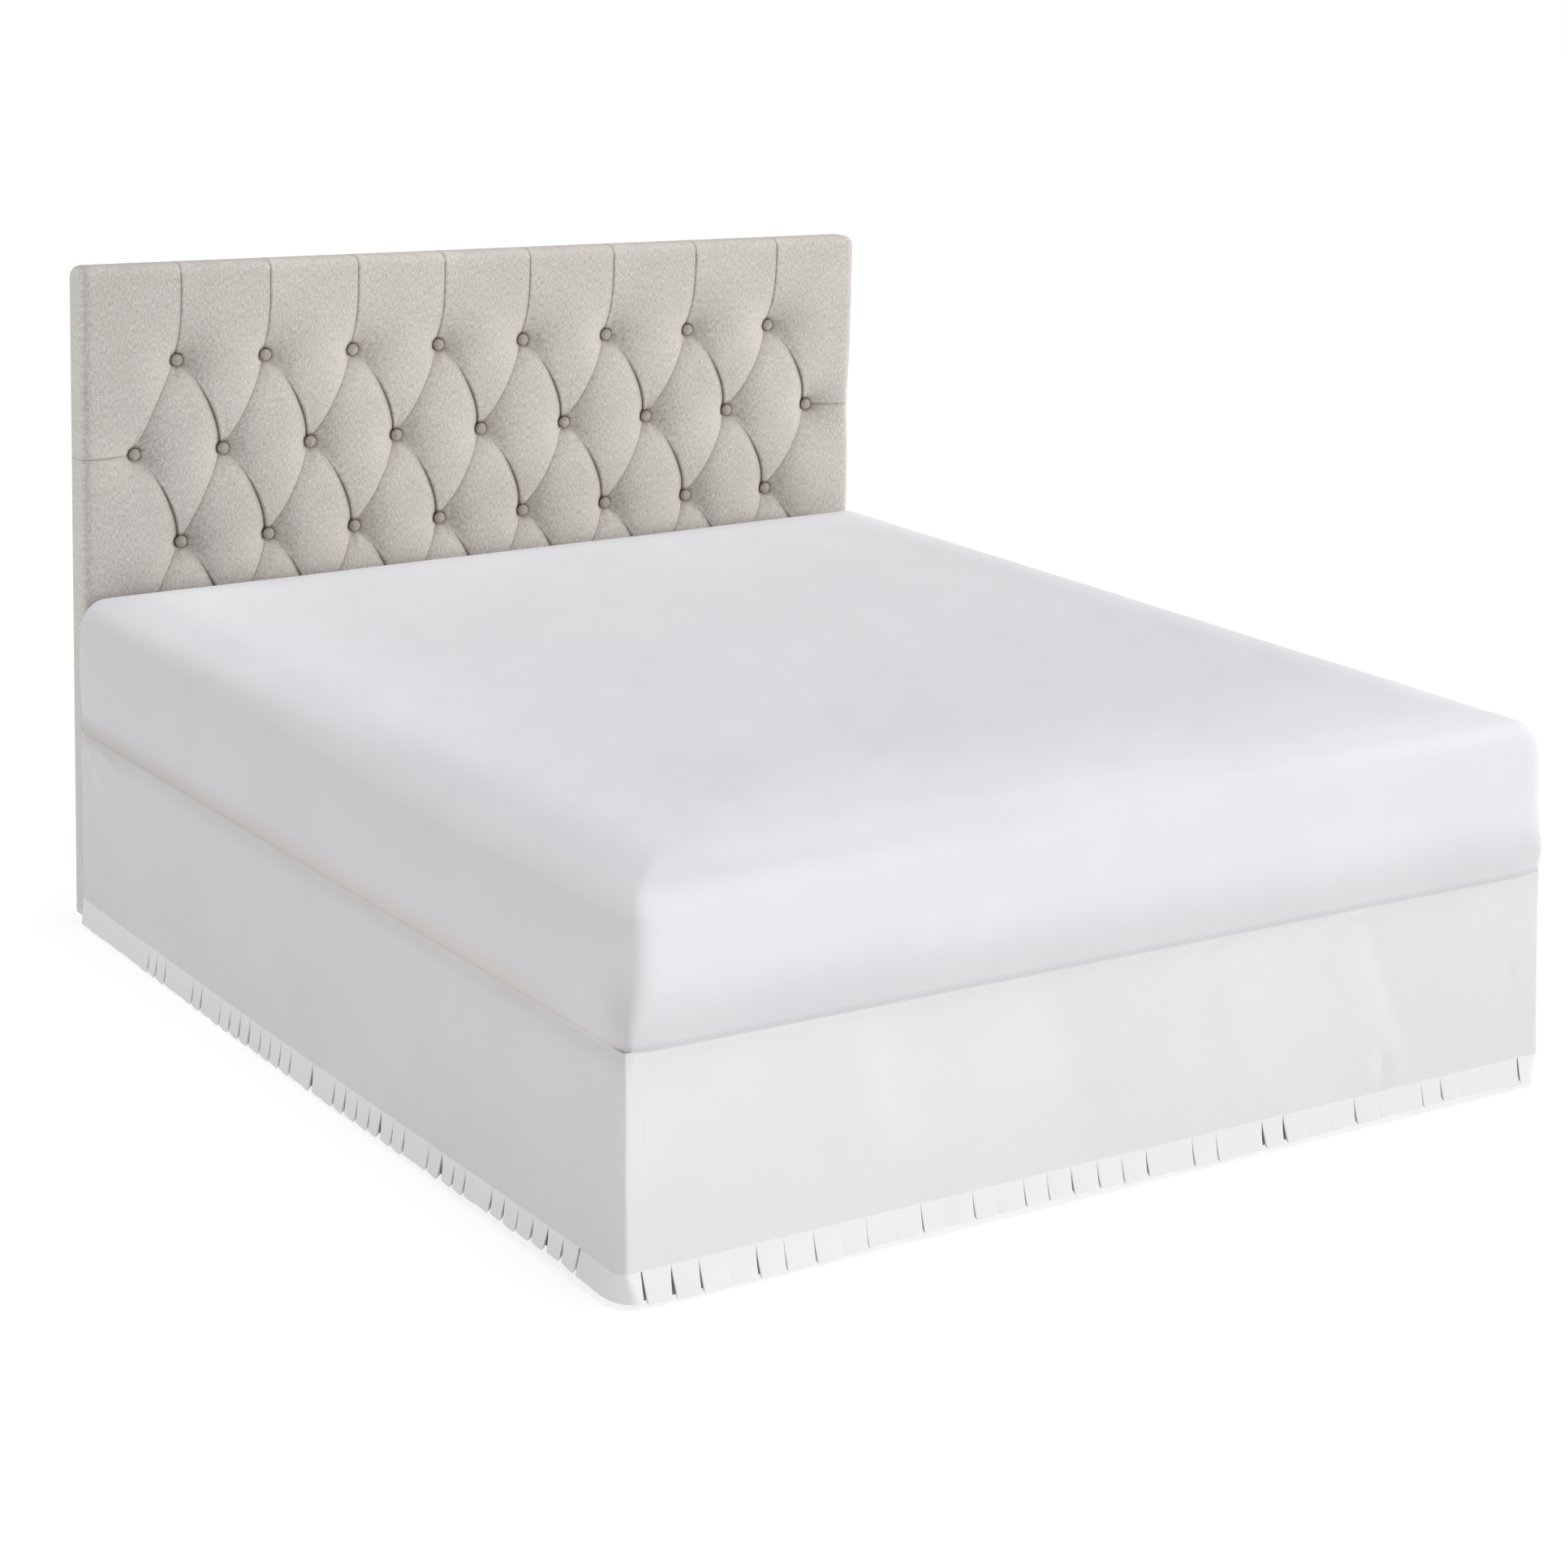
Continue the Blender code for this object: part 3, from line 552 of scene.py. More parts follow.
def corner_path(side_out, foot_out, radius, reach):
    """The plan of a cloth bent round the right foot corner, as distances from the bed's middle.
    Its bend is tighter across the foot where the cloth ends soon after the corner."""
    side_x = BED_W / 2 + side_out(BED_L / 2)
    foot_y = BED_L / 2 + foot_out
    across = min(CRISPNESS * radius, side_x - BED_W / 2 + reach - LEAST_FOOT)
    start = BED_L / 2 - FLAP_SIDE
    path = []
    for step in range(LEG_STEPS):
        distance = start + (foot_y - radius - start) * step / LEG_STEPS
        path.append((BED_W / 2 + side_out(distance), distance))
    for step in range(BEND_STEPS + 1):
        angle = math.pi / 2 * step / BEND_STEPS
        path.append((side_x - across * (1 - math.cos(angle)), foot_y - radius * (1 - math.sin(angle))))
    last_x = path[-1][0]
    for step in range(1, FOOT_STEPS + 1):
        path.append((last_x + (BED_W / 2 - reach - last_x) * step / FOOT_STEPS, foot_y))
    return path


def make_corner(cloth, side, turn, material):
    foot_along = -turn * (BED_W / 2 - FLAP_FOOT)
    rows = []
    for row in range(cloth.rows + 1):
        fall = row / cloth.rows
        z = cloth.top + (cloth.hem - cloth.top) * fall
        soft = cloth.soft * math.sin(9 * fall + 3) * math.sin(math.pi * fall)

        def side_out(distance):
            return float(cloth.out(side, turn * distance, z)) + cloth.side_proud + soft

        foot_out = float(cloth.out("foot", foot_along, z)) + cloth.foot_proud
        radius = cloth.top_r + (cloth.hem_r - cloth.top_r) * fall
        path = corner_path(side_out, foot_out, radius, cloth.reach)
        lift = cloth.lift * fall / FLAP_SIDE
        rows.append([(turn * x, BED_Y - y, z + lift * max(0.0, BED_L / 2 - y)) for x, y in path])
    return add_sheet(cloth.name + side, np.array(rows), CLOTH_T, material)


# ---- the mattress ----
# The profile from the crown to the underside: how far out of the full outline, how far below the crown
# and, past the edge, the share of the way down the side.
Profile = namedtuple("Profile", "out drop down")
MATTRESS_PROFILE = (
    Profile(-0.153, 0.0, 0.0),
    Profile(-0.113, 0.0023, 0.0),
    Profile(-0.073, 0.0093, 0.0),
    Profile(-0.036, 0.02, 0.0),
    Profile(-0.013, 0.021, 0.074),
    Profile(-0.002, 0.021, 0.19),
    Profile(0.002, 0.021, 0.45),
    Profile(0.001, 0.021, 0.75),
    Profile(0.0006, 0.021, 0.9),
    Profile(0.0, 0.021, 0.985),
    Profile(-0.0015, 0.021, 1.014),
    Profile(-0.004, 0.021, 1.018),
    Profile(-0.0062, 0.021, 1.002),
    Profile(-0.01, 0.021, 0.992),
)
TOP_CELLS = (118, 134)
RING_STEPS = 4  # rings between two rows of the profile
LOW_CORNER_R = 0.010  # at the bottom of its foot corners
TUCK = 0.005  # and the sheet is drawn in this far there
TUCK_REACH = 0.070
TUCK_HEIGHT = 0.045
SHARP_DOWN = (0.45, 1.0)  # where down the side the foot corners turn as sharp as that
LEAST_CORNER_R = 0.002
SHEET_UNEVEN = ((0.0012, 0.45, 31, 1), (0.0005, 0.14, 32, -1))  # heights, sizes, seeds, ways up
SHEET_SIDE = (0.10, 0.01)  # in from its edges, where the sheet turns from its top to its sides
SHEET_CALM = (0.02, 0.08)  # up from the skirt, where its bumps begin and are full
HEAD_CALM = 0.02
TOP_HALF_Z = 0.5


def mattress_crown(x, y):
    sag = SIDE_SAG
    far = ((x - sag.x) / sag.reach_x) ** 2 + ((y - sag.y) / sag.reach_y) ** 2
    return MATTRESS_Z + MATTRESS_TILT_X * x + MATTRESS_TILT_Y * y - sag.depth * np.exp(-far)


def spline(rows, steps):
    """Points of a smooth curve through the rows, with that many steps between two of them."""
    rows = np.asarray(rows, float)
    ends = np.vstack([2 * rows[0] - rows[1], rows, 2 * rows[-1] - rows[-2]])
    made = []
    for index in range(1, len(ends) - 2):
        a, b, c, d = ends[index - 1 : index + 3]
        for step in range(steps):
            t = step / steps
            low_terms = 2 * b + (c - a) * t + (2 * a - 5 * b + 4 * c - d) * t**2
            made.append(0.5 * (low_terms + (3 * b - a - 3 * c + d) * t**3))
    made.append(rows[-1])
    return np.array(made)


def ring_faces(last, now):
    """The faces between two closed rings of points, with triangles where a ring has a point twice."""
    corners = zip(last, now, np.roll(now, -1), np.roll(last, -1))
    return [list(dict.fromkeys(face)) for face in corners]


def add_rings(points, faces, last, rings):
    """Adds closed rings to a mesh, one after another from its outline. Gives its points and last ring."""
    points, total = [points], len(points)
    for ring in rings:
        points.append(ring)
        now = total + np.arange(len(ring))
        total += len(ring)
        faces.extend(ring_faces(last, now))
        last = now
    return np.concatenate(points), last


def mattress_ring(row, unit, half_w, half_l):
    """One row of the profile round the mattress. unit is each point's place in the outline, -1 to 1."""
    x, y = unit[:, 0] * (half_w + row.out), unit[:, 1] * (half_l + row.out)
    sharp = smooth_step(row.down, *SHARP_DOWN) * (unit[:, 1] < 0)
    radius = np.maximum(LEAST_CORNER_R, CORNER_R + row.out + (LOW_CORNER_R - CORNER_R) * sharp)
    over_x = np.maximum(0.0, np.abs(x) - (half_w + row.out - radius))
    over_y = np.maximum(0.0, np.abs(y) - (half_l + row.out - radius))
    reach = np.maximum(np.hypot(over_x, over_y), 1e-9)
    pull = np.where((over_x > 0) & (over_y > 0) & (reach > radius), 1 - radius / reach, 0.0)
    x = x - np.sign(x) * over_x * pull
    y = y - np.sign(y) * over_y * pull
    top = mattress_crown(x, y) - row.drop
    z = top + (SKIRT_TOP + GAP - top) * row.down
    by_side = smooth_step(np.abs(x), half_w - TUCK_REACH, half_w - TUCK_REACH / 4)
    by_foot = smooth_step(-y, half_l - TUCK_REACH, half_l - TUCK_REACH / 4)
    tuck = TUCK * by_side * by_foot * (1 - smooth_step(z, SKIRT_TOP, SKIRT_TOP + TUCK_HEIGHT))
    return np.stack([x - np.sign(x) * tuck, y + tuck, z], axis=-1)


def make_mattress(material):
    half_w = BED_W / 2 + MATTRESS_OUT
    front, back = -(BED_L / 2 + MATTRESS_OUT), HEADBOARD_FRONT - CLEARANCE
    half_l = (back - front) / 2
    profile = [Profile(*row) for row in spline(MATTRESS_PROFILE, RING_STEPS)]
    flat = np.array([half_w, half_l]) + profile[0].out
    x, y = np.meshgrid(*(np.linspace(-1, 1, cells + 1) * half for cells, half in zip(TOP_CELLS, flat)))
    top = np.stack([x, y, mattress_crown(x, y)], axis=-1).reshape(-1, 3)
    faces = list(grid_faces(*x.shape))
    index = np.arange(x.size).reshape(x.shape)
    loop = np.concatenate([index[0, :-1], index[:-1, -1], index[-1, :0:-1], index[:0:-1, 0]])
    rings = [mattress_ring(row, top[loop, :2] / flat, half_w, half_l) for row in profile[1:]]
    points, last = add_rings(top, faces, loop, rings)
    points = sheet_relief(points, half_w, half_l)
    points[:, 1] += (front + back) / 2 + BED_Y
    return add_mesh("mattress_in_sheet", points, faces + [last[::-1]], material)


def sheet_relief(points, half_w, half_l):
    """The fitted sheet's soft unevenness, along each point's own way out of the mattress."""
    x, y, z = points.T
    inner, outer = SHEET_SIDE
    out_x = smooth_step(np.abs(x), half_w - inner, half_w - outer) * np.sign(x)
    out_y = smooth_step(np.abs(y), half_l - inner, half_l - outer) * np.sign(y)
    up = np.clip(1 - np.abs(out_x) - np.abs(out_y), 0.0, 1.0) * (z > TOP_HALF_Z)
    relief = sum(high * ripples(x, y + way * z, size, seed) for high, size, seed, way in SHEET_UNEVEN)
    relief = relief * smooth_step(z - SKIRT_TOP, *SHEET_CALM)
    off_head = relief * (y <= half_l - HEAD_CALM)
    return np.stack([x + out_x * off_head, y + out_y * off_head, z + up * relief], axis=-1)


# ---- the headboard ----
EDGE_R = 0.022  # of its rolled outer edges
GROOVE_DARKEST = 0.0036  # a groove this deep takes the fullest painted shade
RING_W = 0.0045  # of the ring of painted shade round a button
SEAM_MARK = 0.0012  # half the width of the end seams where they turn round the edges
SEAM_FROM_X = 0.8
SEAM_SHADE = 0.5
EDGE_PULL = 0.6  # of how far back the face lies at the edge, how much less the edge stands out there
EDGE_SHARES = (0.25, 0.5, 0.75, 0.9)  # of the way from the rolled edge to the back
BACK_EDGE = ((0.0015, 0.0008), (0.004, 0.0))  # its rings in from the edge and off the back
ON_EDGE = 1e-5  # so near an edge is on it
PUFF = 0.0030  # the face's fullest places stand this far out of the frame's face
HOLLOW_DEPTH = 0.042  # round each button
HOLLOW_REACH = 0.046
HOLLOW_SHAPE = 1.10
HOLLOW_EASE = 0.006
PUCKERS = 7  # how many round each button, how high, how far from its middle and how wide
PUCKER = 0.0007
PUCKER_AT = 0.024
PUCKER_W = 0.014
VALLEY_DEPTH = 0.0055  # along each fold, where the cloth is drawn in between two buttons
VALLEY_W = 0.017
VALLEY_STEPS = 6
PATCH_STEPS = 36
SEAM_STEPS = 16
ROLL_STEPS = 6
CROWDING = 0.92  # how much the faces crowd towards the folds
EVEN = np.linspace(0, 1, PATCH_STEPS + 1)
CROWDED = EVEN - CROWDING * np.sin(2 * math.pi * EVEN) / (2 * math.pi)
STEPS_UP = EVEN**2
TO_BUTTON = 1 - (1 - np.linspace(0, 1, SEAM_STEPS + 1)) ** 2
FACE_RIGHT = HEADBOARD_RIGHT - EDGE_R
FACE_TOP = HEADBOARD_TOP - EDGE_R
LAST_TUFT_Z = 0.60
BUTTON_CENTRE = 0.0015  # of the whole pattern, from the bed's middle
BUTTON_SPREAD = 0.0015  # the buttons stand slightly closer in the middle
BUTTON_R = 0.0116
BUTTON_DEPTH = 0.0345  # how far back its middle lies
BUTTON_HALF = 0.0058  # of its thickness
BUTTON_SHADE = 0.55  # painted shade on a button, as a share of a deep crease's
BUTTON_DOME = 0.85
BUTTON_AROUND = 20
BUTTON_RINGS = 7

# The cloth above a fold laps over the cloth below it: how deep the groove is, how far it reaches, how high
# the lip stands over the face, and the shares of the fold's length, from its top, at which it starts, is
# full, fades and ends.
Fold = namedtuple("Fold", "groove reach lip start full fade end")
RIGHT_FOLD = Fold(0.0046, 0.0052, 0.0030, 0.12, 0.66, 0.985, 1.00)
LEFT_FOLD = Fold(0.0020, 0.0034, 0.0014, 0.02, 0.12, 0.84, 0.98)
PLEAT = Fold(0.0018, 0.0030, 0.0014, 0.00, 0.06, 2.00, 3.00)
END_SEAM = Fold(0.0016, 0.0034, 0.0010, 0.02, 0.15, 2.00, 3.00)
LEFT_BOW_AT = (0.20, 0.40)  # from the left edge
LEFT_BOW = (-2.2, -0.1)
LIP_R = 0.0034
LIP_REACH = 0.015
ACROSS_DIAMOND = 0.173  # between two opposite sides of a diamond
ACROSS_SLANT = 0.47  # how far a point is from a fold, for each unit that it lies above it


def button_place(row, index):
    """Row 0 is the highest; rows 0, 2 and 4 have 8 buttons and rows 1 and 3 have 9."""
    step = (-3.5 if row % 2 == 0 else -4.0) + index
    x = BUTTON_CENTRE + step * BUTTON_PITCH + BUTTON_SPREAD * (step * step - 6.0)
    return np.array([x, FIRST_BUTTON_ROW - row * BUTTON_ROW])


def buttons(rows):
    """(row, index, place) of each button in the highest rows."""
    places = [(row, index) for row in range(rows) for index in range(8 + row % 2)]
    return [(row, index, button_place(row, index)) for row, index in places]


def bezier(a, b, c, d, t):
    t = t[:, None]
    return (1 - t) ** 3 * a + 3 * (1 - t) ** 2 * t * b + 3 * (1 - t) * t**2 * c + t**3 * d


def fold_line(start, end, t=CROWDED):
    """A fold down from one button to the next. It bows to the right, and least by the left edge."""
    third = (end - start) / 3
    if end[0] > start[0]:
        first, last = np.array((0.0170, 0.0105)), np.array((0.0130, 0.0075))
    else:
        bow = np.interp(start[0] - HEADBOARD_LEFT, LEFT_BOW_AT, LEFT_BOW)
        first, last = bow * np.array((0.0069, -0.0035)), bow * np.array((0.0051, -0.0025))
    return bezier(start, start + third + first, end - third + last, end, t)


def coons(bottom, top, left, right):
    """A patch between four curves. bottom and top run from left to right, left and right upwards."""
    u = np.linspace(0, 1, len(bottom))
    v = np.linspace(0, 1, len(left))
    u = arc_share(bottom, top, u)[None, :, None]
    v = arc_share(left, right, v)[:, None, None]
    ruled = (1 - v) * bottom[None] + v * top[None] + (1 - u) * left[:, None] + u * right[:, None]
    low_corners = (1 - u) * (1 - v) * bottom[0] + u * (1 - v) * bottom[-1]
    return ruled - (low_corners + (1 - u) * v * top[0] + u * v * top[-1])


def arc_share(one, other, even):
    def share(curve):
        steps = np.hypot(*np.diff(curve, axis=0).T)
        return np.concatenate([[0], np.cumsum(steps)]) / max(steps.sum(), 1e-9)

    return (share(one) + share(other)) / 2 if len(one) else even


def left_edge_x(z):
    return HEADBOARD_LEFT + EDGE_R - HEADBOARD_TAPER * (1 - z / HEADBOARD_TOP)


def face_edge(at_right, z):
    return FACE_RIGHT if at_right else left_edge_x(z)


def line(a, b, shares):
    a, b = np.asarray(a, float), np.asarray(b, float)
    return a + (b - a) * shares[:, None]


def hollows(x, z):
    """The hollow round each button, with the small puckers that its pull makes."""
    depth = np.zeros(np.shape(x))
    for row, index, (bx, bz) in buttons(4):
        away = np.hypot(x - bx, z - bz)
        near = np.hypot(away, HOLLOW_EASE) - HOLLOW_EASE
        depth += HOLLOW_DEPTH * np.exp(-((near / HOLLOW_REACH) ** HOLLOW_SHAPE))
        pucker = np.cos(PUCKERS * np.arctan2(z - bz, x - bx) + row * 1.3 + index * 2.1)
        depth += PUCKER * pucker * np.exp(-(((away - PUCKER_AT) / PUCKER_W) ** 2))
    return depth


def off_path(x, z, path):
    """How far each point lies from a line of straight steps."""
    away = np.full(np.shape(x), np.inf)
    for start, step in zip(path, np.diff(path, axis=0)):
        off_x, off_z = x - start[0], z - start[1]
        along = np.clip((off_x * step[0] + off_z * step[1]) / (step @ step), 0, 1)
        away = np.minimum(away, np.hypot(off_x - along * step[0], off_z - along * step[1]))
    return away


def trough(away):
    return np.exp(-((away / VALLEY_W) ** 2))


def valleys(x, z):
    """The soft trough along each fold and, fading out upwards, along each pleat."""
    share = np.zeros(np.shape(x))
    t = np.linspace(0, 1, VALLEY_STEPS + 1)
    for row, index, start in buttons(4):
        if np.min(np.hypot(x - start[0], z - start[1])) > 2 * BUTTON_PITCH:
            continue
        for below in (index - row % 2, index + 1 - row % 2):
            if 0 <= below < 9 - row % 2:
                path = fold_line(start, button_place(row + 1, below), t)
                share = np.maximum(share, trough(off_path(x, z, path)))
        if row == 0:
            fade = 1 - smooth_step(z, start[1], FACE_TOP)
            away = np.hypot(x - start[0], np.maximum(start[1] - z, 0.0))
            share = np.maximum(share, fade * trough(away))
    return VALLEY_DEPTH * share


def strength(fold, share):
    return smooth_step(share, fold.start, fold.full) * (1 - smooth_step(share, fold.fade, fold.end))


def lapped(fold, away, share):
    """The relief on the side of a fold whose cloth laps over the other's, from its lip to the groove."""
    turn = 1 - np.clip(away / LIP_R, 0, 1)
    rise = np.sqrt(1 - turn * turn)
    raised = fold.lip * rise * np.exp(-((np.maximum(away - LIP_R, 0) / LIP_REACH) ** 2))
    return strength(fold, share) * (fold.groove * (1 - rise) - raised)


def under(fold, away, share):
    """The relief on the side of a fold that lies under the other's lip."""
    return strength(fold, share) * fold.groove * np.exp(-away / fold.reach)


def face_depth(x, z, creases):
    """How far back the face lies from the frame's front."""
    tufted = smooth_step(z, LAST_TUFT_Z - 0.06, LAST_TUFT_Z)
    from_edge = np.minimum(HEADBOARD_RIGHT - x, x - HEADBOARD_LEFT)
    puff = PUFF * smooth_step(np.minimum(from_edge, HEADBOARD_TOP - z), 0.01, 0.12)
    return (hollows(x, z) + valleys(x, z) + creases) * tufted - puff


def diamond(row, index):
    """The patch between four buttons, from its left button, as (x and z, creases)."""
    left, right = button_place(row, index), button_place(row, index + 1)
    shift = 1 - row % 2
    top, bottom = button_place(row - 1, index + shift), button_place(row + 1, index + shift)
    sides = ((right, bottom), (top, left), (left, bottom), (top, right))
    xz = coons(*(fold_line(start, end)[::-1] for start, end in sides))
    u, v = CROWDED[None, :], CROWDED[:, None]
    wide = ACROSS_DIAMOND
    creases = lapped(RIGHT_FOLD, u * wide, 1 - v) + lapped(LEFT_FOLD, v * wide, 1 - u)
    creases = creases + under(RIGHT_FOLD, (1 - u) * wide, 1 - v)
    return xz, creases + under(LEFT_FOLD, (1 - v) * wide, 1 - u)


def above_first_row(index):
    """The patch over a button of the second row, between the two pleats beside it."""
    a, b = button_place(0, index), button_place(0, index + 1)
    low = button_place(1, index + 1)
    bottom = np.concatenate([fold_line(a, low), fold_line(b, low)[::-1][1:]])
    top = np.stack([bottom[:, 0], np.full(len(bottom), FACE_TOP)], axis=-1)
    xz = coons(bottom, top, *(line(side, (side[0], FACE_TOP), STEPS_UP) for side in (a, b)))
    x, z = xz[..., 0], xz[..., 1]
    over = ACROSS_SLANT * (z - bottom[:, 1])
    share = np.concatenate([CROWDED, CROWDED[::-1][1:]])
    to_right = np.arange(len(bottom)) <= PATCH_STEPS
    creases = np.where(to_right, lapped(RIGHT_FOLD, over, share), lapped(LEFT_FOLD, over, share))
    up = STEPS_UP[:, None]
    return xz, creases + lapped(PLEAT, x - a[0], up) + under(PLEAT, b[0] - x, up)


def end_seam(at_right, button):
    """The seam from the face's left or right edge to the button beside it."""
    return line((face_edge(at_right, button[1]), button[1]), button, TO_BUTTON)


def end_patches(at_right):
    """The two patches between the face's left or right edge and the tufting."""
    outer = 7 * at_right
    first, middle = button_place(0, outer), button_place(2, outer)
    high, low = (button_place(row, outer + at_right) for row in (1, 3))
    seam, low_seam = end_seam(at_right, high), end_seam(at_right, low)
    own, other = (RIGHT_FOLD, LEFT_FOLD) if at_right else (LEFT_FOLD, RIGHT_FOLD)
    up_again = CROWDED[::-1]
    # above the upper seam
    bottom = np.concatenate([seam, fold_line(first, high)[::-1][1:]])
    corner, over_first = (face_edge(at_right, FACE_TOP), FACE_TOP), (first[0], FACE_TOP)
    share = (bottom[:, 0] - bottom[0, 0]) / (first[0] - bottom[0, 0])
    outer_side, inner_side = line(bottom[0], corner, STEPS_UP), line(first, over_first, STEPS_UP)
    xz = coons(bottom, line(corner, over_first, share), outer_side, inner_side)
    over = xz[..., 1] - bottom[:, 1]
    seam_share = np.concatenate([1 - TO_BUTTON, np.zeros(PATCH_STEPS)])
    fold_share = np.concatenate([np.zeros(SEAM_STEPS), up_again])
    creases = np.where(
        np.arange(len(bottom)) <= SEAM_STEPS,
        lapped(END_SEAM, over, seam_share),
        lapped(own, ACROSS_SLANT * over, fold_share),
    )
    pleat_side = lapped if at_right else under
    upper = (xz, creases + pleat_side(PLEAT, np.abs(xz[..., 0] - first[0]), STEPS_UP[:, None]))
    # between the seams of the second and the fourth row
    inner = np.concatenate([fold_line(middle, low)[::-1], fold_line(high, middle)[::-1][1:]])
    share = (inner[:, 1] - low[1]) / (high[1] - low[1])
    xz = coons(low_seam, seam, line(low_seam[0], seam[0], share), inner)
    away = np.abs(xz[..., 0] - inner[:, None, 0]) / math.hypot(1, ACROSS_SLANT)
    down = np.concatenate([up_again, up_again[1:]])[:, None]
    is_lower = np.arange(len(inner))[:, None] <= PATCH_STEPS
    creases = np.where(is_lower, lapped(own, away, down), under(other, away, down))
    return upper, (xz, creases + under(END_SEAM, seam[:, 1] - xz[..., 1], 1 - TO_BUTTON))


def low_path():
    """Along the lowest folds, from the left edge to the right one."""
    row = [button_place(3, index) for index in range(9)]
    parts = [end_seam(False, row[0])]
    for index, (start, end) in enumerate(zip(row, row[1:])):
        low = button_place(4, index)
        parts += [fold_line(start, low)[1:], fold_line(end, low)[::-1][1:]]
    return np.concatenate([*parts, end_seam(True, row[-1])[::-1][1:]])


def face_patches():
    """The face cut along its folds, as patches of (x and z, creases)."""
    patches = [diamond(row, index) for row in (1, 2, 3) for index in range(7 + row % 2)]
    patches += [above_first_row(index) for index in range(7)]
    patches += [*end_patches(False), *end_patches(True)]
    # the plain part below, hidden behind the mattress
    path = low_path()
    share = (path[:, 0] - path[0, 0]) / (path[-1, 0] - path[0, 0])
    bottom = line((left_edge_x(0.0), 0.0), (FACE_RIGHT, 0.0), share)
    down = np.linspace(0, 1, 6)[:, None, None]
    return patches + [(bottom * (1 - down) + path * down, np.zeros((6, len(path))))]


def merged(points, faces):
    """The mesh with points that coincide made one, and faces that vanish left out."""
    # the odd cell and offset keep any shared point off the cells' borders
    cells = np.floor(points[:, (0, 2)] / 1.7e-5 + 0.377)
    _, first, index = np.unique(cells, axis=0, return_index=True, return_inverse=True)
    index = index.reshape(-1)
    kept = []
    for face in index[np.asarray(faces)]:
        corners = [v for k, v in enumerate(face) if v != face[k - 1]]
        if len(set(corners)) >= 3:
            kept.append(corners)
    return points[first], kept


def facing_front(points, faces):
    """The faces, each with its points in the order that turns it to the front."""
    xz = points[:, (0, 2)].tolist()
    turned = []
    for face in faces:
        corners = [xz[index] for index in face]
        area = sum(a[0] * b[1] - b[0] * a[1] for a, b in zip(corners, corners[1:] + corners[:1]))
        turned.append(face if area > 0 else face[::-1])
    return turned


def outline_of(faces):
    """The points along the outer edge of a mesh, in order."""
    edges = {edge for face in faces for edge in zip(face, face[1:] + face[:1])}
    after = {a: b for a, b in edges if (b, a) not in edges}
    loop = [min(after)]
    while after[loop[-1]] != loop[0] and len(loop) <= len(after):
        loop.append(after[loop[-1]])
    return loop


def outward(point):
    """Which ways the headboard's edge rolls at a point of the face's outline."""
    x, _, z = point
    sides = (
        (x < left_edge_x(z) + ON_EDGE, (-1.0, 0.0)),
        (z > FACE_TOP - ON_EDGE, (0.0, 1.0)),
        (x > FACE_RIGHT - ON_EDGE, (1.0, 0.0)),
    )
    return np.array([way for on_it, way in sides if on_it] or [(0.0, 0.0)])


def ways_out(points, loop):
    """Each point of the outline and its way out. A corner comes several times, as its way turns."""
    entries = []
    for before, vertex in zip([loop[-1], *loop], loop):
        ways = outward(points[vertex])
        if len(ways) == 1:
            entries.append((vertex, ways[0]))
            continue
        first, last = ways if ways[0] @ outward(points[before])[0] > 0.5 else ways[::-1]
        for step in range(ROLL_STEPS + 1):
            angle = math.pi / 2 * step / ROLL_STEPS
            entries.append((vertex, math.cos(angle) * first + math.sin(angle) * last))
    vertices, ways = zip(*entries)
    return np.array(vertices), np.array(ways)


def edge_rings(start, ways):
    """The rings of points from the face's outline round the rolled edge to the back."""
    deep = start[:, 1]  # how far back the outline lies
    rings = []  # (how far out of the outline, how far back)
    for step in range(1, ROLL_STEPS + 1):
        angle = math.pi / 2 * step / ROLL_STEPS
        back = deep + (EDGE_R - deep) * (1 - math.cos(angle))
        rings.append(((EDGE_R - EDGE_PULL * deep) * math.sin(angle), back))
    for share in EDGE_SHARES:
        back = EDGE_R + (HEADBOARD_T - EDGE_R) * share
        rings.append((EDGE_R - EDGE_PULL * deep * (1 - share), back))
    rings += [(EDGE_R - inwards, HEADBOARD_T - off_back) for inwards, off_back in BACK_EDGE]
    for out, back in rings:
        ring = start.copy()
        ring[:, (0, 2)] += ways * np.reshape(out, (-1, 1))
        ring[:, 1] = back
        yield ring


def make_headboard(material):
    points, faces, total = [], [], 0
    for xz, creases in face_patches():
        x, z = xz[..., 0], xz[..., 1]
        points.append(np.stack([x, face_depth(x, z, creases), z], axis=-1).reshape(-1, 3))
        faces.append(grid_faces(*x.shape) + total)
        total += x.size
    front, faces = merged(np.concatenate(points), np.concatenate(faces))
    faces = facing_front(front, faces)
    outline, ways = ways_out(front, outline_of(faces))
    points, last = add_rings(front, faces, outline, edge_rings(front[outline], ways))
    x, depth, z = points.T
    # painted light on the headboard's left side, past the face's edge
    past_edge = left_edge_x(z) - x
    on_left = (past_edge > -ON_EDGE) * smooth_step(past_edge, 0.3 * EDGE_R, 0.9 * EDGE_R)
    # painted shade along the end seams where they turn round the edges, and in the face's grooves and
    # button rings
    by_seam = (np.abs(z - button_place(1, 0)[1]) < SEAM_MARK) * (np.abs(x) > SEAM_FROM_X)
    painted_crease_shade = SEAM_SHADE * by_seam * (depth < HEADBOARD_T)
    painted_crease_shade[: len(front)] = np.maximum(painted_crease_shade[: len(front)], crease_shade(front))
    points[:, 1] += HEADBOARD_FRONT + BED_Y
    obj = add_mesh("headboard_tufted", points, faces + [last], material)
    add_values(obj, "painted_crease_shade", painted_crease_shade)
    add_values(obj, "painted_side_light", on_left)
    obj.data.set_sharp_from_angle(angle=math.radians(60))
    return obj


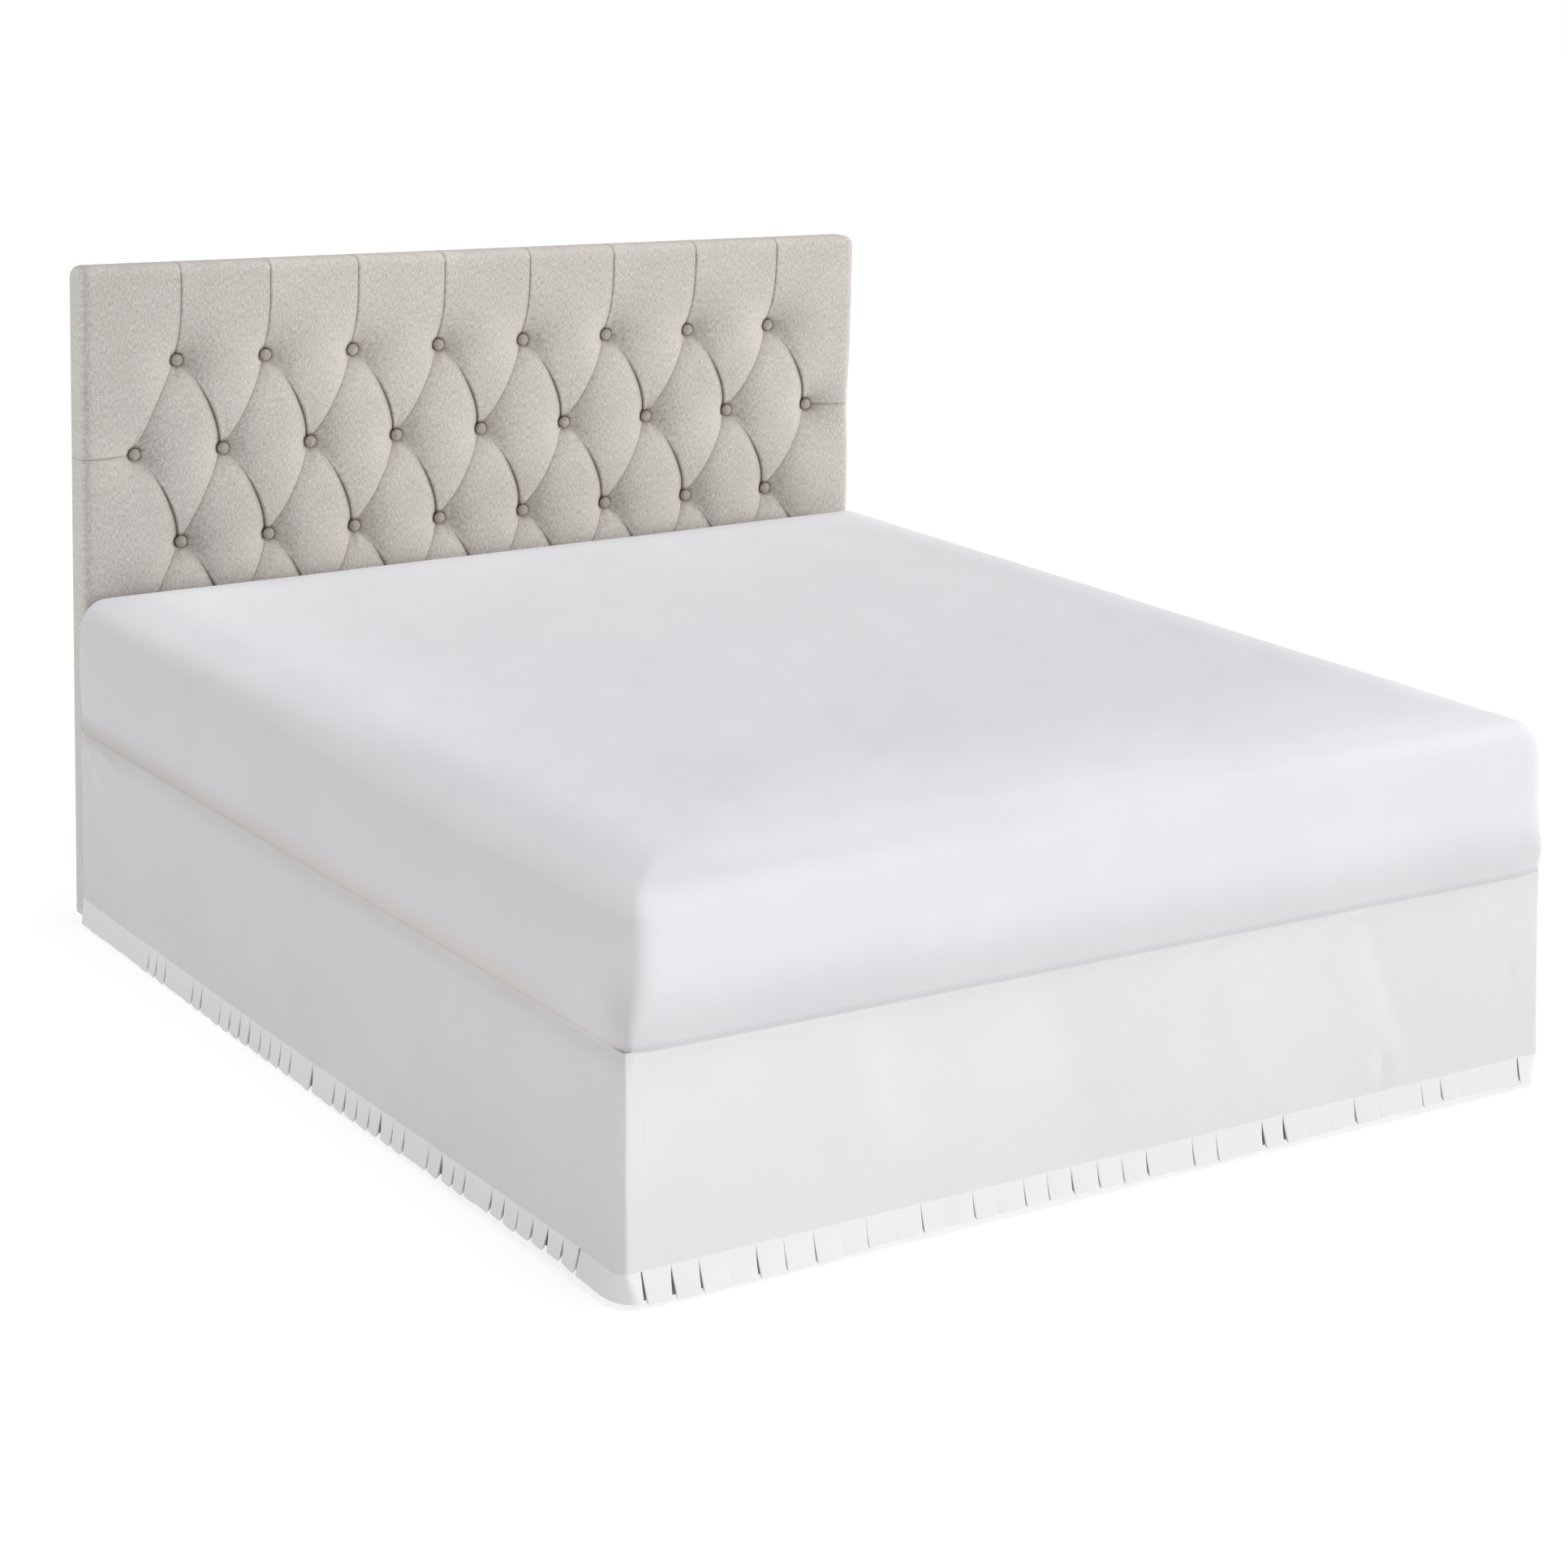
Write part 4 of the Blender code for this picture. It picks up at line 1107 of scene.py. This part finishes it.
def crease_shade(front):
    """How much painted shade each point of the face takes: in a fold's groove, or in the ring round a
    button.
    """
    x, depth, z = front.T
    groove = np.clip((depth - face_depth(x, z, 0.0)) / GROOVE_DARKEST, 0.0, 1.0)
    ring = np.zeros(len(front))
    for _, _, (bx, bz) in buttons(4):
        off = np.maximum(np.hypot(x - bx, z - bz) - BUTTON_R, 0.0)
        ring = np.maximum(ring, np.exp(-((off / RING_W) ** 2)))
    return np.maximum(groove, ring)


def make_buttons(material):
    points, faces = [], []
    turns = 2 * math.pi * np.arange(BUTTON_AROUND) / BUTTON_AROUND
    for _, _, (x, z) in buttons(3):
        last = None
        for ring in range(BUTTON_RINGS, -1, -1):
            angle = math.pi * ring / BUTTON_RINGS
            radius = BUTTON_R * math.sin(angle) ** BUTTON_DOME
            y = HEADBOARD_FRONT + BED_Y + BUTTON_DEPTH - BUTTON_HALF * math.cos(angle)
            around = turns[:1] if ring in (0, BUTTON_RINGS) else turns
            now = np.broadcast_to(len(points) + np.arange(len(around)), len(turns))
            points += [(x + radius * math.cos(turn), y, z + radius * math.sin(turn)) for turn in around]
            faces += ring_faces(last, now) if last is not None else []
            last = now
    obj = add_mesh("headboard_buttons", points, faces, material)
    # painted shade on the buttons, sunk in their hollows
    add_values(obj, "painted_crease_shade", np.full(len(points), BUTTON_SHADE))
    return obj


# ---- materials ----
# A weave's threads: how fine they are across and along
COTTON_THREADS = (900.0, 60.0)
PERCALE_THREADS = (1100.0, 70.0)
TICKING_THREADS = (700.0, 50.0)
LINEN_WARP = (440.0, 105.0)
LINEN_WEFT = (520.0, 160.0)
LINEN_DARK = (0.410, 0.372, 0.335)
LINEN_PLAIN = (0.655, 0.610, 0.565)
LINEN_LIGHT = (0.865, 0.828, 0.790)
PERCALE_DARK = (0.790, 0.792, 0.830)
PERCALE_LIGHT = (0.830, 0.832, 0.866)
TICKING_DARK = (0.44, 0.43, 0.41)
TICKING_LIGHT = (0.58, 0.57, 0.55)
WOOD_DARK = (0.070, 0.040, 0.022)
WOOD_LIGHT = (0.190, 0.115, 0.068)
SKIRT_TONES = (0.785, 0.825)
TRIM_TONES = {  # copies of the cotton for the trim, painted lighter than the drops as painted light, the sides' copy most
    "foot": ("skirt_trim_cotton", 0.880, 0.910),
    "left": ("skirt_side_trim_cotton", 0.955, 0.975),
    "corner": ("skirt_band_cotton", 0.915, 0.940),
}
# What is left of a cloth's colour under painted shade
PLEAT_INSIDE_SHADE = (0.340, 0.340, 0.345)  # painted shade in the inside of a pleat
LINEN_CREASE_SHADE = (0.460, 0.425, 0.390)  # painted shade in the headboard's deepest creases, round its buttons, on them and along its end seams
LINEN_LEFT_SHADE = (0.870, 0.875, 0.880)  # painted shade towards the headboard's left edge
# painted shadow of the mattress on the left drop's top
SKIRT_MATTRESS_SHADOW = (0.920, 0.920, 0.920)
# painted shade, darker down towards the trim
SKIRT_LOW_SHADE = (0.955, 0.955, 0.955)
# painted shade, darker towards the right, against the key light from there
SKIRT_RIGHT_SHADE = (0.970, 0.970, 0.970)
# painted shade on the sheet: warm on its left side, along the left side's low edge, towards the head, low
# on the foot and at its lip over the skirt
SHEET_LEFT_SHADE = (0.995, 0.975, 0.962)
SHEET_LEFT_HEM_SHADE = (0.955, 0.918, 0.868)  # painted shade along the left side's low edge, towards the head, away from the foot corner
SHEET_HEAD_HEM_SHADE = (0.890, 0.900, 0.905)
SHEET_FOOT_LOW_SHADE = (0.870, 0.865, 0.860)
SHEET_LIP_SHADE = (0.890, 0.880, 0.872)
# Painted light added to it
LINEN_SIDE_LIGHT = (0.200, 0.200, 0.190)  # painted light on the headboard's left side
SHEET_CROWN_LIGHT = (0.075, 0.077, 0.082)  # painted light on the top, near the left and foot edges
# Where a painted shade or light begins and is full, from an edge of the bed, the skirt's top or the
# mattress's top
LEFT_DROP_X = (-0.895, -0.910)
TO_RIGHT_X = (-0.70, 0.60)
TO_HEAD_Y = (-0.40, 0.90)
MATTRESS_SHADE = 0.050
FLOOR_SHADE = 0.100
SIDE_WIDE = 0.06
CROWN_WIDE = (0.45, 0.10)
CROWN_DEEP = (0.050, 0.022)
LOW_HIGH = (0.130, 0.010)
HEM_HIGH = (0.050, 0.004)
LIP_HIGH = 0.012
OFF_FOOT = 0.35
LINEN_LEFT_WIDE = (0.60, 0.05)


class Wire:
    """An output of a node, as a value to add to, take from or multiply."""

    def __init__(self, nodes, socket):
        self.nodes, self.socket = nodes, socket

    def __add__(self, other):
        return self.nodes.math("ADD", self, other)

    def __sub__(self, other):
        return self.nodes.math("SUBTRACT", self, other)

    def __mul__(self, other):
        return self.nodes.math("MULTIPLY", self, other)


class Nodes:
    """A short way to build one material's nodes."""

    def __init__(self, name, roughness, sheen=0.0, specular=0.35):
        self.material = bpy.data.materials.new(name)
        self.material.use_nodes = True
        self.tree = self.material.node_tree
        self.shader = self.tree.nodes["Principled BSDF"]
        self.feed(self.shader, {"Roughness": roughness, "Specular IOR Level": specular})
        self.feed(self.shader, {"Sheen Weight": sheen, "Sheen Roughness": 0.6})
        self.place = self.add("TexCoord", {}, "Object")

    def feed(self, node, inputs):
        """Gives each of a node's named inputs its number, colour or wire."""
        for name, value in inputs.items():
            socket = node.inputs[name]
            if isinstance(value, Wire):
                self.tree.links.new(value.socket, socket)
            else:
                socket.default_value = (*value, 1.0) if socket.type == "RGBA" else value

    def add(self, kind, inputs, output=0, **settings):
        node = self.tree.nodes.new("ShaderNode" + kind)
        for name, value in settings.items():
            setattr(node, name, value)
        self.feed(node, inputs)
        return Wire(self, node.outputs[output])

    def math(self, operation, a, b):
        return self.add("Math", {0: a, 1: b}, operation=operation)

    def noise(self, scale, detail, roughness=0.5, place=None):
        inputs = {"Vector": place or self.place, "Scale": scale, "Detail": detail}
        return self.add("TexNoise", {**inputs, "Roughness": roughness}, "Fac")

    def ramp(self, value, *stops):
        color = self.add("ValToRGB", {"Fac": value}, "Color")
        elements = color.socket.node.color_ramp.elements
        while len(elements) < len(stops):
            elements.new(0.5)
        for element, (position, shade) in zip(elements, stops):
            element.position = position
            element.color = (*shade, 1.0)
        return color

    def tint(self, color, mask, tint, blend="MULTIPLY"):
        """The colour, with the tint blended in where the mask is 1."""
        # 6, 7 and the output 2 are the Mix node's colours
        inputs = {0: mask, 6: color, 7: tint}
        return self.add("Mix", inputs, 2, data_type="RGBA", blend_type=blend)

    def value(self, name):
        """One of a mesh's own values, as add_values stores them."""
        return self.add("Attribute", {}, "Fac", attribute_name=name)

    def fade(self, value, low, high):
        """0 at low, rising smoothly to 1 at high. Low may be the larger."""
        inputs = {"Value": value, "From Min": low, "From Max": high}
        return self.add("MapRange", inputs, "Result", interpolation_type="SMOOTHSTEP")

    def axes(self):
        node = self.add("SeparateXYZ", {0: self.place}).socket.node
        return [Wire(self, socket) for socket in node.outputs]

    def threads(self, fineness, up):
        """Noise drawn out upwards or sideways, as the threads of a weave."""
        x, y, z = self.axes()
        across, along = fineness
        if up:
            parts = {0: (x + y) * across, 1: z * along}
        else:
            parts = {0: (x + y) * along, 1: (z + y * 0.7) * across}
        return self.noise(1.0, 2.0, 0.6, self.add("CombineXYZ", parts))

    def plain_weave(self, broad, fineness, broad_share, dark, light):
        """The relief of a plain weave, and its colour between dark and light."""
        warp, weft = (self.threads(fineness, up) for up in (True, False))
        weave = warp * 0.5 + weft * 0.5
        tone = broad * broad_share + weave * (1 - broad_share)
        return weave, self.ramp(tone, (0.30, dark), (0.70, light))

    def finish(self, color, relief, depth, strength):
        """The material, with its colour and its bump."""
        bump = self.add("Bump", {"Height": relief, "Distance": depth, "Strength": strength}, "Normal")
        self.feed(self.shader, {"Base Color": color, "Normal": bump})
        return self.material


def skirt_material(name, dark, light):
    nodes = Nodes(name, 0.88, sheen=0.12, specular=0.2)
    broad = nodes.noise(5.0, 3.0, 0.55)
    weave, cotton = nodes.plain_weave(broad, COTTON_THREADS, 0.75, (dark,) * 3, (light,) * 3)
    x, _, z = nodes.axes()
    # painted shadow of the mattress on the left drop's top
    under_mattress_shadow = nodes.fade(z, SKIRT_TOP - MATTRESS_SHADE, SKIRT_TOP) * nodes.fade(x, *LEFT_DROP_X)
    cotton = nodes.tint(cotton, under_mattress_shadow, SKIRT_MATTRESS_SHADOW)
    # painted shade, darker down towards the trim
    cotton = nodes.tint(cotton, nodes.fade(z, SKIRT_TOP - FLOOR_SHADE, SEAM_Z), SKIRT_LOW_SHADE)
    # painted shade, darker towards the right, against the key light from there
    cotton = nodes.tint(cotton, nodes.fade(x, *TO_RIGHT_X), SKIRT_RIGHT_SHADE)
    # painted shade inside the pleats
    cotton = nodes.tint(cotton, nodes.value("tucked"), PLEAT_INSIDE_SHADE, "MIX")
    return nodes.finish(cotton, weave, 0.00012, 0.6)


def sheet_material():
    nodes = Nodes("fitted_sheet_percale", 0.82, sheen=0.15, specular=0.2)
    broad = nodes.noise(3.5, 3.0)
    weave, percale = nodes.plain_weave(broad, PERCALE_THREADS, 0.8, PERCALE_DARK, PERCALE_LIGHT)
    x, y, z = nodes.axes()
    left_x, foot_y = -BED_W / 2, -BED_L / 2

    def off(value, edge, span):
        """1 near an edge, fading out away from it."""
        return nodes.fade(value, edge + span[0], edge + span[1])

    left = off(x, left_x, (SIDE_WIDE, 0.0))
    foot = off(y, foot_y, (SIDE_WIDE, BED_Y))
    on_top = nodes.fade(z, *(MATTRESS_Z - deep for deep in CROWN_DEEP))
    crown = nodes.math("MAXIMUM", off(x, left_x, CROWN_WIDE), off(y, foot_y, CROWN_WIDE)) * on_top
    left_hem = left * off(z, SKIRT_TOP, HEM_HIGH)
    # painted light on the top near its left and foot edges
    percale = nodes.tint(percale, crown, SHEET_CROWN_LIGHT, "ADD")
    # painted shade on the sides and their low edges, down to the lip over the skirt
    percale = nodes.tint(percale, left, SHEET_LEFT_SHADE)
    percale = nodes.tint(percale, left_hem * nodes.fade(y, foot_y, foot_y + OFF_FOOT), SHEET_LEFT_HEM_SHADE)
    percale = nodes.tint(percale, left_hem * nodes.fade(y, *TO_HEAD_Y), SHEET_HEAD_HEM_SHADE)
    percale = nodes.tint(percale, foot * off(z, SKIRT_TOP, LOW_HIGH), SHEET_FOOT_LOW_SHADE)
    percale = nodes.tint(percale, off(z, SKIRT_TOP, (LIP_HIGH, 0.0)), SHEET_LIP_SHADE)
    return nodes.finish(percale, weave, 0.0001, 0.5)


def linen_material():
    nodes = Nodes("headboard_linen_weave", 0.92, sheen=0.2, specular=0.15)
    slubs = nodes.threads(LINEN_WARP, True) * 0.62 + nodes.threads(LINEN_WEFT, False) * 0.38
    tone = slubs * 0.72 + nodes.noise(760.0, 1.0) * 0.28
    tone = tone + (nodes.noise(9.0, 2.0) - 0.5) * 0.06
    linen = nodes.ramp(tone, (0.34, LINEN_DARK), (0.50, LINEN_PLAIN), (0.66, LINEN_LIGHT))
    # painted shade towards the left edge, away from the key light
    left_shade = nodes.fade(nodes.axes()[0], *(HEADBOARD_LEFT + wide for wide in LINEN_LEFT_WIDE))
    linen = nodes.tint(linen, left_shade, LINEN_LEFT_SHADE)
    # painted light on the left side
    linen = nodes.tint(linen, nodes.value("painted_side_light"), LINEN_SIDE_LIGHT, "ADD")
    # painted shade in the creases, round the buttons and on them
    linen = nodes.tint(linen, nodes.value("painted_crease_shade"), LINEN_CREASE_SHADE)
    return nodes.finish(linen, tone, 0.0016, 0.7)


def ticking_material():
    nodes = Nodes("foundation_ticking", 0.9, sheen=0.1, specular=0.2)
    weave = nodes.threads(TICKING_THREADS, True) * nodes.threads(TICKING_THREADS, False)
    ticking = nodes.ramp(weave, (0.15, TICKING_DARK), (0.35, TICKING_LIGHT))
    return nodes.finish(ticking, weave, 0.0004, 0.6)


def wood_material():
    nodes = Nodes("leg_stained_wood", 0.42, specular=0.5)
    upright = nodes.add("Mapping", {"Vector": nodes.place, "Scale": (160.0, 160.0, 9.0)})
    grain = nodes.noise(1.0, 4.0, 0.6, upright)
    return nodes.finish(nodes.ramp(grain, (0.35, WOOD_DARK), (0.62, WOOD_LIGHT)), grain, 0.0003, 0.5)


def floor_material():
    nodes = Nodes("studio_floor", 0.9, specular=0.05)
    pale = (FLOOR_TONE,) * 3
    glow = {"Emission Color": (1.0, 1.0, 1.0), "Emission Strength": FLOOR_GLOW}
    color = nodes.ramp(nodes.noise(0.6, 1.0), (0.0, pale), (1.0, pale))
    nodes.feed(nodes.shader, {"Base Color": color, **glow})
    return nodes.material


# ---- stage ----
FLOOR_GLOW = 0.78
FLOOR_TONE = 0.30
FLOOR_HALF = 40.0
FLOOR_Z = -0.0004
SKY = 0.36  # what the white backdrop lights the bed with
# (name, the way it comes from, its spread in degrees, strength)
LIGHTS = (("key", (0.848, -0.517, 0.118), 12.0, 1.56), ("top", (0.10, -0.05, 1.0), 40.0, 1.43))
LIGHT_FAR = 6.0
# The camera that fits the photo's bed
CAMERA_AT = (-3.0787, -4.7862, 1.9572)
CAMERA_RIGHT = (0.834456, -0.550677, 0.020929)
CAMERA_UP = (0.104910, 0.196027, 0.974970)
CAMERA_BACK = (-0.540996, -0.811374, 0.221348)
LENS = 72.98
SHIFT = (-0.0176, -0.0859)


def make_stage():
    size = FLOOR_HALF
    corners = [(-size, -size), (size, -size), (size, size), (-size, size)]
    points = [(x, y, FLOOR_Z) for x, y in corners]
    floor = add_mesh("floor", points, [(0, 1, 2, 3)], floor_material())
    world = bpy.data.worlds.new("studio")
    bpy.context.scene.world = world
    world.use_nodes = True
    tree = world.node_tree
    lighting, seen = tree.nodes["Background"], tree.nodes.new("ShaderNodeBackground")
    for node, strength in ((lighting, SKY), (seen, 1.0)):
        node.inputs["Color"].default_value = (1.0, 1.0, 1.0, 1.0)
        node.inputs["Strength"].default_value = strength
    path = tree.nodes.new("ShaderNodeLightPath")
    mix = tree.nodes.new("ShaderNodeMixShader")
    sources = (path.outputs["Is Camera Ray"], lighting.outputs[0], seen.outputs[0])
    for place, source in enumerate(sources):
        tree.links.new(source, mix.inputs[place])
    tree.links.new(mix.outputs[0], tree.nodes["World Output"].inputs["Surface"])


def add_light(name, towards, spread, strength):
    """A broad, far light that comes from one way."""
    data = bpy.data.lights.new(name, "SUN")
    data.angle = math.radians(spread)
    data.energy = strength
    light = bpy.data.objects.new(name, data)
    light.location = LIGHT_FAR * Vector(towards)
    light.rotation_euler = Vector(towards).to_track_quat("Z", "Y").to_euler()
    bpy.context.scene.collection.objects.link(light)


def make_camera():
    data = bpy.data.cameras.new("photo_view")
    data.sensor_width = 36.0
    data.lens = LENS
    data.shift_x, data.shift_y = SHIFT
    data.clip_end = 200.0
    camera = bpy.data.objects.new("photo_view", data)
    matrix = Matrix((CAMERA_RIGHT, CAMERA_UP, CAMERA_BACK)).transposed().to_4x4()
    matrix.translation = Vector(CAMERA_AT)
    camera.matrix_world = matrix
    bpy.context.scene.collection.objects.link(camera)
    bpy.context.scene.camera = camera


# ---- the whole ----
def place_piece(obj, slot, *nodes):
    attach(obj, "root")
    if nodes:
        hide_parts(*nodes)
    return obj


def main():
    bpy.context.scene.view_settings.view_transform = "Standard"
    make_stage()
    make_camera()
    for light in LIGHTS:
        add_light(*light)
    cotton = skirt_material("skirt_cotton", *SKIRT_TONES)
    # the trim's copies of the cotton, painted lighter as painted light
    lit_trim_cottons = {place: skirt_material(*tones) for place, tones in TRIM_TONES.items()}
    lit_trim_cottons["right"] = lit_trim_cottons["left"]
    percale = sheet_material()
    linen = linen_material()
    finishes = {"foundation": ticking_material()}
    wood = wood_material()
    for name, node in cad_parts.items():
        if name in finishes or name.startswith("leg_"):
            node.data.materials.clear()
            node.data.materials.append(finishes.get(name, wood))
    deck = place_piece(make_deck(cotton), "skirt", "deck")
    for side, (start, end, _) in DROPS.items():
        drop = place_piece(make_drop(side, cotton), "skirt", "drop_" + side)
        end - start
        trim = place_piece(make_trim(side, lit_trim_cottons[side]), "skirt", "trim_" + side)
        length = RUNS[side].end - RUNS[side].start
        # each box pleat takes up four under-folds' worth of cloth as well as its face
        flat = length + 4 * UNDER * length
    for side, turn in (("left", -1), ("right", 1)):
        flap = place_piece(make_corner(FLAP, side, turn, cotton), "skirt", "flap_" + side)
        band = place_piece(make_corner(BAND, side, turn, lit_trim_cottons["corner"]), "skirt", "band_" + side)
        flat = (FLAP_SIDE + BAND_FOOT + 0.02, SEAM_Z - BAND_HEM_Z)
    mattress = place_piece(make_mattress(percale), "sheet", "mattress")
    board = place_piece(make_headboard(linen), "linen", "headboard")
    board_buttons = place_piece(make_buttons(linen), "linen")


main()
